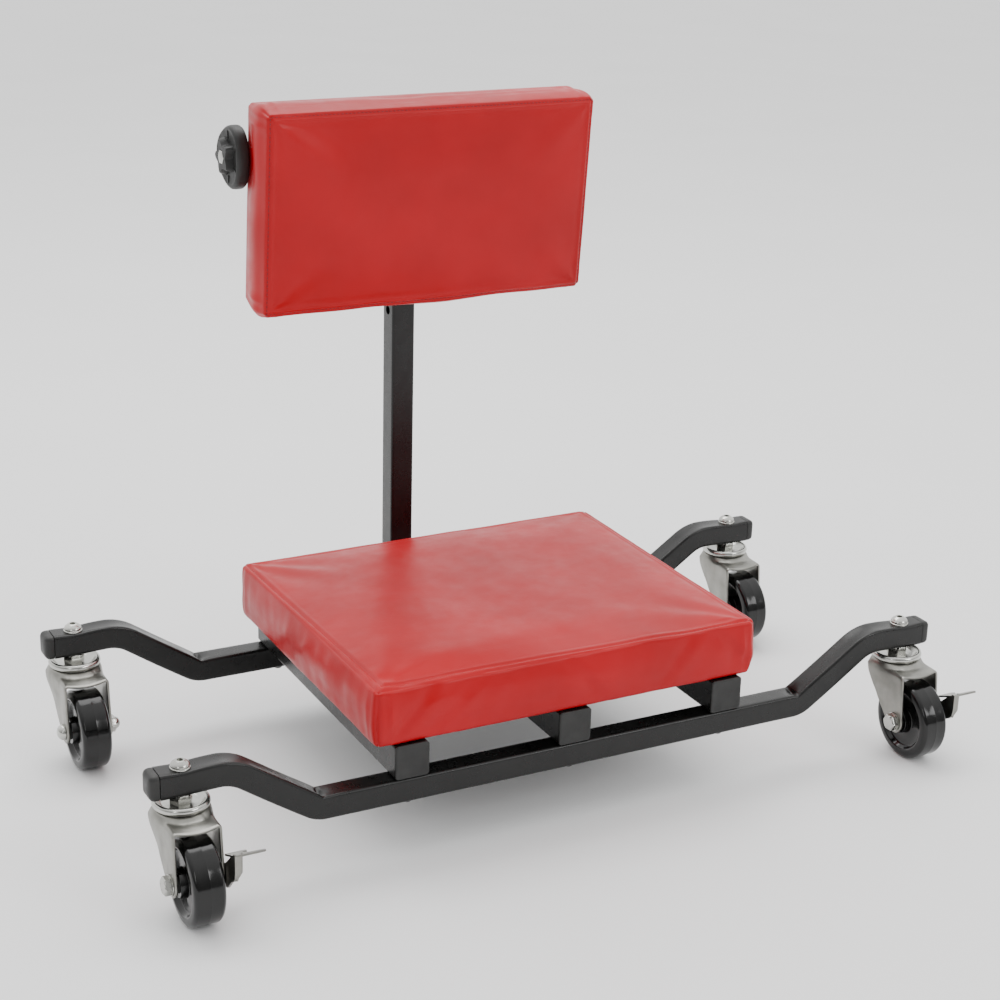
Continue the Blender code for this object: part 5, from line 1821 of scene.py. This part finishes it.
    def _lugs(self) -> None:
        """Steel lugs behind the board, each with two screws, and the board itself."""
        back = BackCushion.measured()
        bar_y, bar_z, radius = self._bar()
        inverse = back.place.inverted()
        pivot = inverse @ Vector((0, bar_y, bar_z))
        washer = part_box("tilt_washer")[1].x
        spots = {"left": washer + 0.0006, "right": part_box("back_head")[1].x - 0.012}
        board = Draft().prism(soft_square(back.width / 2 - 0.004, back.depth / 2 - 0.004, 0.012, 4, 8),
                              back.place, 0.0006, 0.0078).piece("backrest_board", Finish.PLY, bevel=0.0006)
        self.hand_over(board, "backrest", Finish.PLY, "back_board")
        for hand, x in spots.items():
            start = (inverse @ Vector((x, bar_y, bar_z))).x
            plate, reach = 0.004, 0.0095
            outline = [(pivot.y - 0.0160, 0.0010), (pivot.y + 0.0160, 0.0010)]
            outline += [(pivot.y + reach * math.cos(math.radians(a)), pivot.z + reach * math.sin(math.radians(a)))
                        for a in range(0, -195, -15)]
            across = back.place @ axes_at(Vector((start, 0, 0)), (0, 1, 0), (0, 0, 1))
            lug = Draft().prism(outline, across, 0.0, plate).piece("backrest_lug_" + hand, Finish.PAINT)
            drill = Draft().turned([(radius + 0.0003, -0.002), (radius + 0.0003, plate + 0.002)],
                                   along_x(Vector((x, bar_y, bar_z))), 40)
            combine(lug, drill.piece("drill", Finish.PAINT))
            inward = 1 if hand == "left" else -1
            flange = Draft().block((start, pivot.y - 0.0160, -0.0018),
                                   (start + plate + 0.0, pivot.y + 0.0160, 0.0008))
            flange.bm.transform(back.place)
            combine(lug, flange.piece("flange", Finish.PAINT), "UNION")
            foot_from, foot_to = sorted((start + plate / 2, start + plate / 2 + inward * 0.020))
            foot = Draft().block((foot_from, pivot.y - 0.0160, -0.0026), (foot_to, pivot.y + 0.0160, -0.0003))
            foot.bm.transform(back.place)
            combine(lug, foot.piece("foot", Finish.PAINT), "UNION")
            soften(lug, 0.0006)
            self.hand_over(lug, "backrest", Finish.PAINT)
            screws = Draft()
            for offset in (-0.0095, 0.0095):
                at = back.place @ Matrix.Translation((start + plate / 2 + inward * 0.0120,
                                                      pivot.y + offset, -0.0026)) @ Matrix.Rotation(
                                                          math.pi, 4, "X")
                screws.sections([(circle(0.0036, 32), 0.0), (circle(0.0034, 32), 0.0008),
                                 (circle(0.0026, 32), 0.0016), (circle(0.0016, 32), 0.0019),
                                 (polygon(0.0022, 4, 32), 0.0019), (polygon(0.0018, 4, 32), 0.0008)], at)
            heads = screws.piece(f"lug_{hand}_screws", Finish.BRIGHT)
            self.hand_over(heads, "backrest", Finish.ZINC)


# ================================================================ studio
@dataclass(frozen=True)
class Lamp:
    """One soft box."""
    name: str
    place: tuple[float, float, float]
    aim: tuple[float, float, float]
    size: tuple[float, float]
    power: float

    def light(self) -> None:
        """Hang the soft box."""
        data = bpy.data.lights.new(self.name, "AREA")
        data.shape = "RECTANGLE"
        data.size, data.size_y = self.size
        data.energy = self.power
        lamp = bpy.data.objects.new(self.name, data)
        lamp.location = self.place
        look = Vector(self.aim) - Vector(self.place)
        lamp.rotation_euler = look.to_track_quat("-Z", "Y").to_euler()
        bpy.context.scene.collection.objects.link(lamp)


@dataclass(frozen=True)
class Studio:
    """Pale floor, white surroundings, soft boxes and the camera."""
    camera_place: tuple[float, float, float] = (-0.849365, -1.60423, 0.90624)
    azimuth: float = math.radians(27.866)
    elevation: float = math.radians(19.921)
    roll: float = math.radians(1.579)
    lens: float = 74.174
    dim: float = 0.30
    bright: float = 1.70
    bright_side: tuple[float, float, float] = (0.25, 0.62, 0.75)
    lamps: tuple[Lamp, ...] = (
        Lamp("key_box", (1.5, -2.5, 1.7), (0.0, 0.0, 0.25), (1.2, 1.2), 26.0),
        Lamp("top_box", (0.1, 1.1, 2.6), (0.0, 0.0, 0.2), (2.4, 1.6), 46.0),
        Lamp("left_strip", (-1.7, -1.6, 1.1), (-0.2, -0.1, 0.1), (0.25, 0.9), 4.0),
    )

    def build(self) -> None:
        """Set up the studio."""
        self._camera()
        self._floor()
        world = bpy.data.worlds.new("studio")
        world.use_nodes = True
        tree = world.node_tree
        heading = tree.nodes.new("ShaderNodeTexCoord").outputs["Generated"]
        along = tree.nodes.new("ShaderNodeVectorMath")
        along.operation = "DOT_PRODUCT"
        along.inputs[1].default_value = Vector(self.bright_side).normalized()
        spread = tree.nodes.new("ShaderNodeMapRange")
        spread.interpolation_type = "SMOOTHSTEP"
        spread.inputs["From Min"].default_value = -0.55
        spread.inputs["From Max"].default_value = 0.75
        spread.inputs["To Min"].default_value = self.dim
        spread.inputs["To Max"].default_value = self.bright
        tree.links.new(heading, along.inputs[0])
        tree.links.new(along.outputs["Value"], spread.inputs["Value"])
        tree.links.new(spread.outputs["Result"], tree.nodes["Background"].inputs["Strength"])
        tree.nodes["Background"].inputs["Color"].default_value = (1.0, 1.0, 1.0, 1.0)
        bpy.context.scene.world = world
        for lamp in self.lamps:
            lamp.light()

    def _camera(self) -> None:
        """Stand the camera where the object is seen from."""
        sin_a, cos_a = math.sin(self.azimuth), math.cos(self.azimuth)
        sin_e, cos_e = math.sin(self.elevation), math.cos(self.elevation)
        ahead = Vector((sin_a * cos_e, cos_a * cos_e, -sin_e))
        right = Vector((cos_a, -sin_a, 0))
        up = right.cross(ahead)
        cos_r, sin_r = math.cos(self.roll), math.sin(self.roll)
        tilted = right * cos_r + up * sin_r
        upright = up * cos_r - right * sin_r
        turn = Matrix((tilted, upright, -ahead)).transposed().to_4x4()
        data = bpy.data.cameras.new("camera")
        data.lens = self.lens
        data.sensor_width = 36.0
        data.clip_end = 200.0
        camera = bpy.data.objects.new("camera", data)
        camera.matrix_world = Matrix.Translation(self.camera_place) @ turn
        bpy.context.scene.collection.objects.link(camera)
        bpy.context.scene.camera = camera

    def _floor(self) -> None:
        """Lay the pale floor just under the wheels."""
        reach = 60.0
        mesh = bpy.data.meshes.new("floor")
        mesh.from_pydata([(-reach, -reach, 0), (reach, -reach, 0), (reach, reach, 0), (-reach, reach, 0)],
                         [], [(0, 1, 2, 3)])
        bench = Bench("floor_white")
        bench.set(Roughness=0.65)
        bench.tint(bench.grain(3, 2), (0.87, 0.87, 0.87), (0.89, 0.89, 0.89))
        mesh.materials.append(bench.material)
        floor = bpy.data.objects.new("floor", mesh)
        bpy.context.scene.collection.objects.link(floor)


def castors() -> Iterator[Castor]:
    """The four castors; the near pair has brakes."""
    for depth in ("near", "far"):
        for hand in ("left", "right"):
            yield Castor(where=f"{depth}_{hand}", braked=depth == "near")


def main() -> None:
    """Build every sub-assembly in order."""
    logging.basicConfig(level=logging.INFO, format="%(name)s: %(message)s")
    Studio().build()
    groups: list[Assembly] = [Rails(), CrossTubes(), *castors(), BackrestGear(),
                              SeatCushion.measured(), BackCushion.measured()]
    for group in groups:
        group.build()
        LOG.info("%s: %d pieces", type(group).__name__, group.placed)


if __name__ == "__main__":
    main()
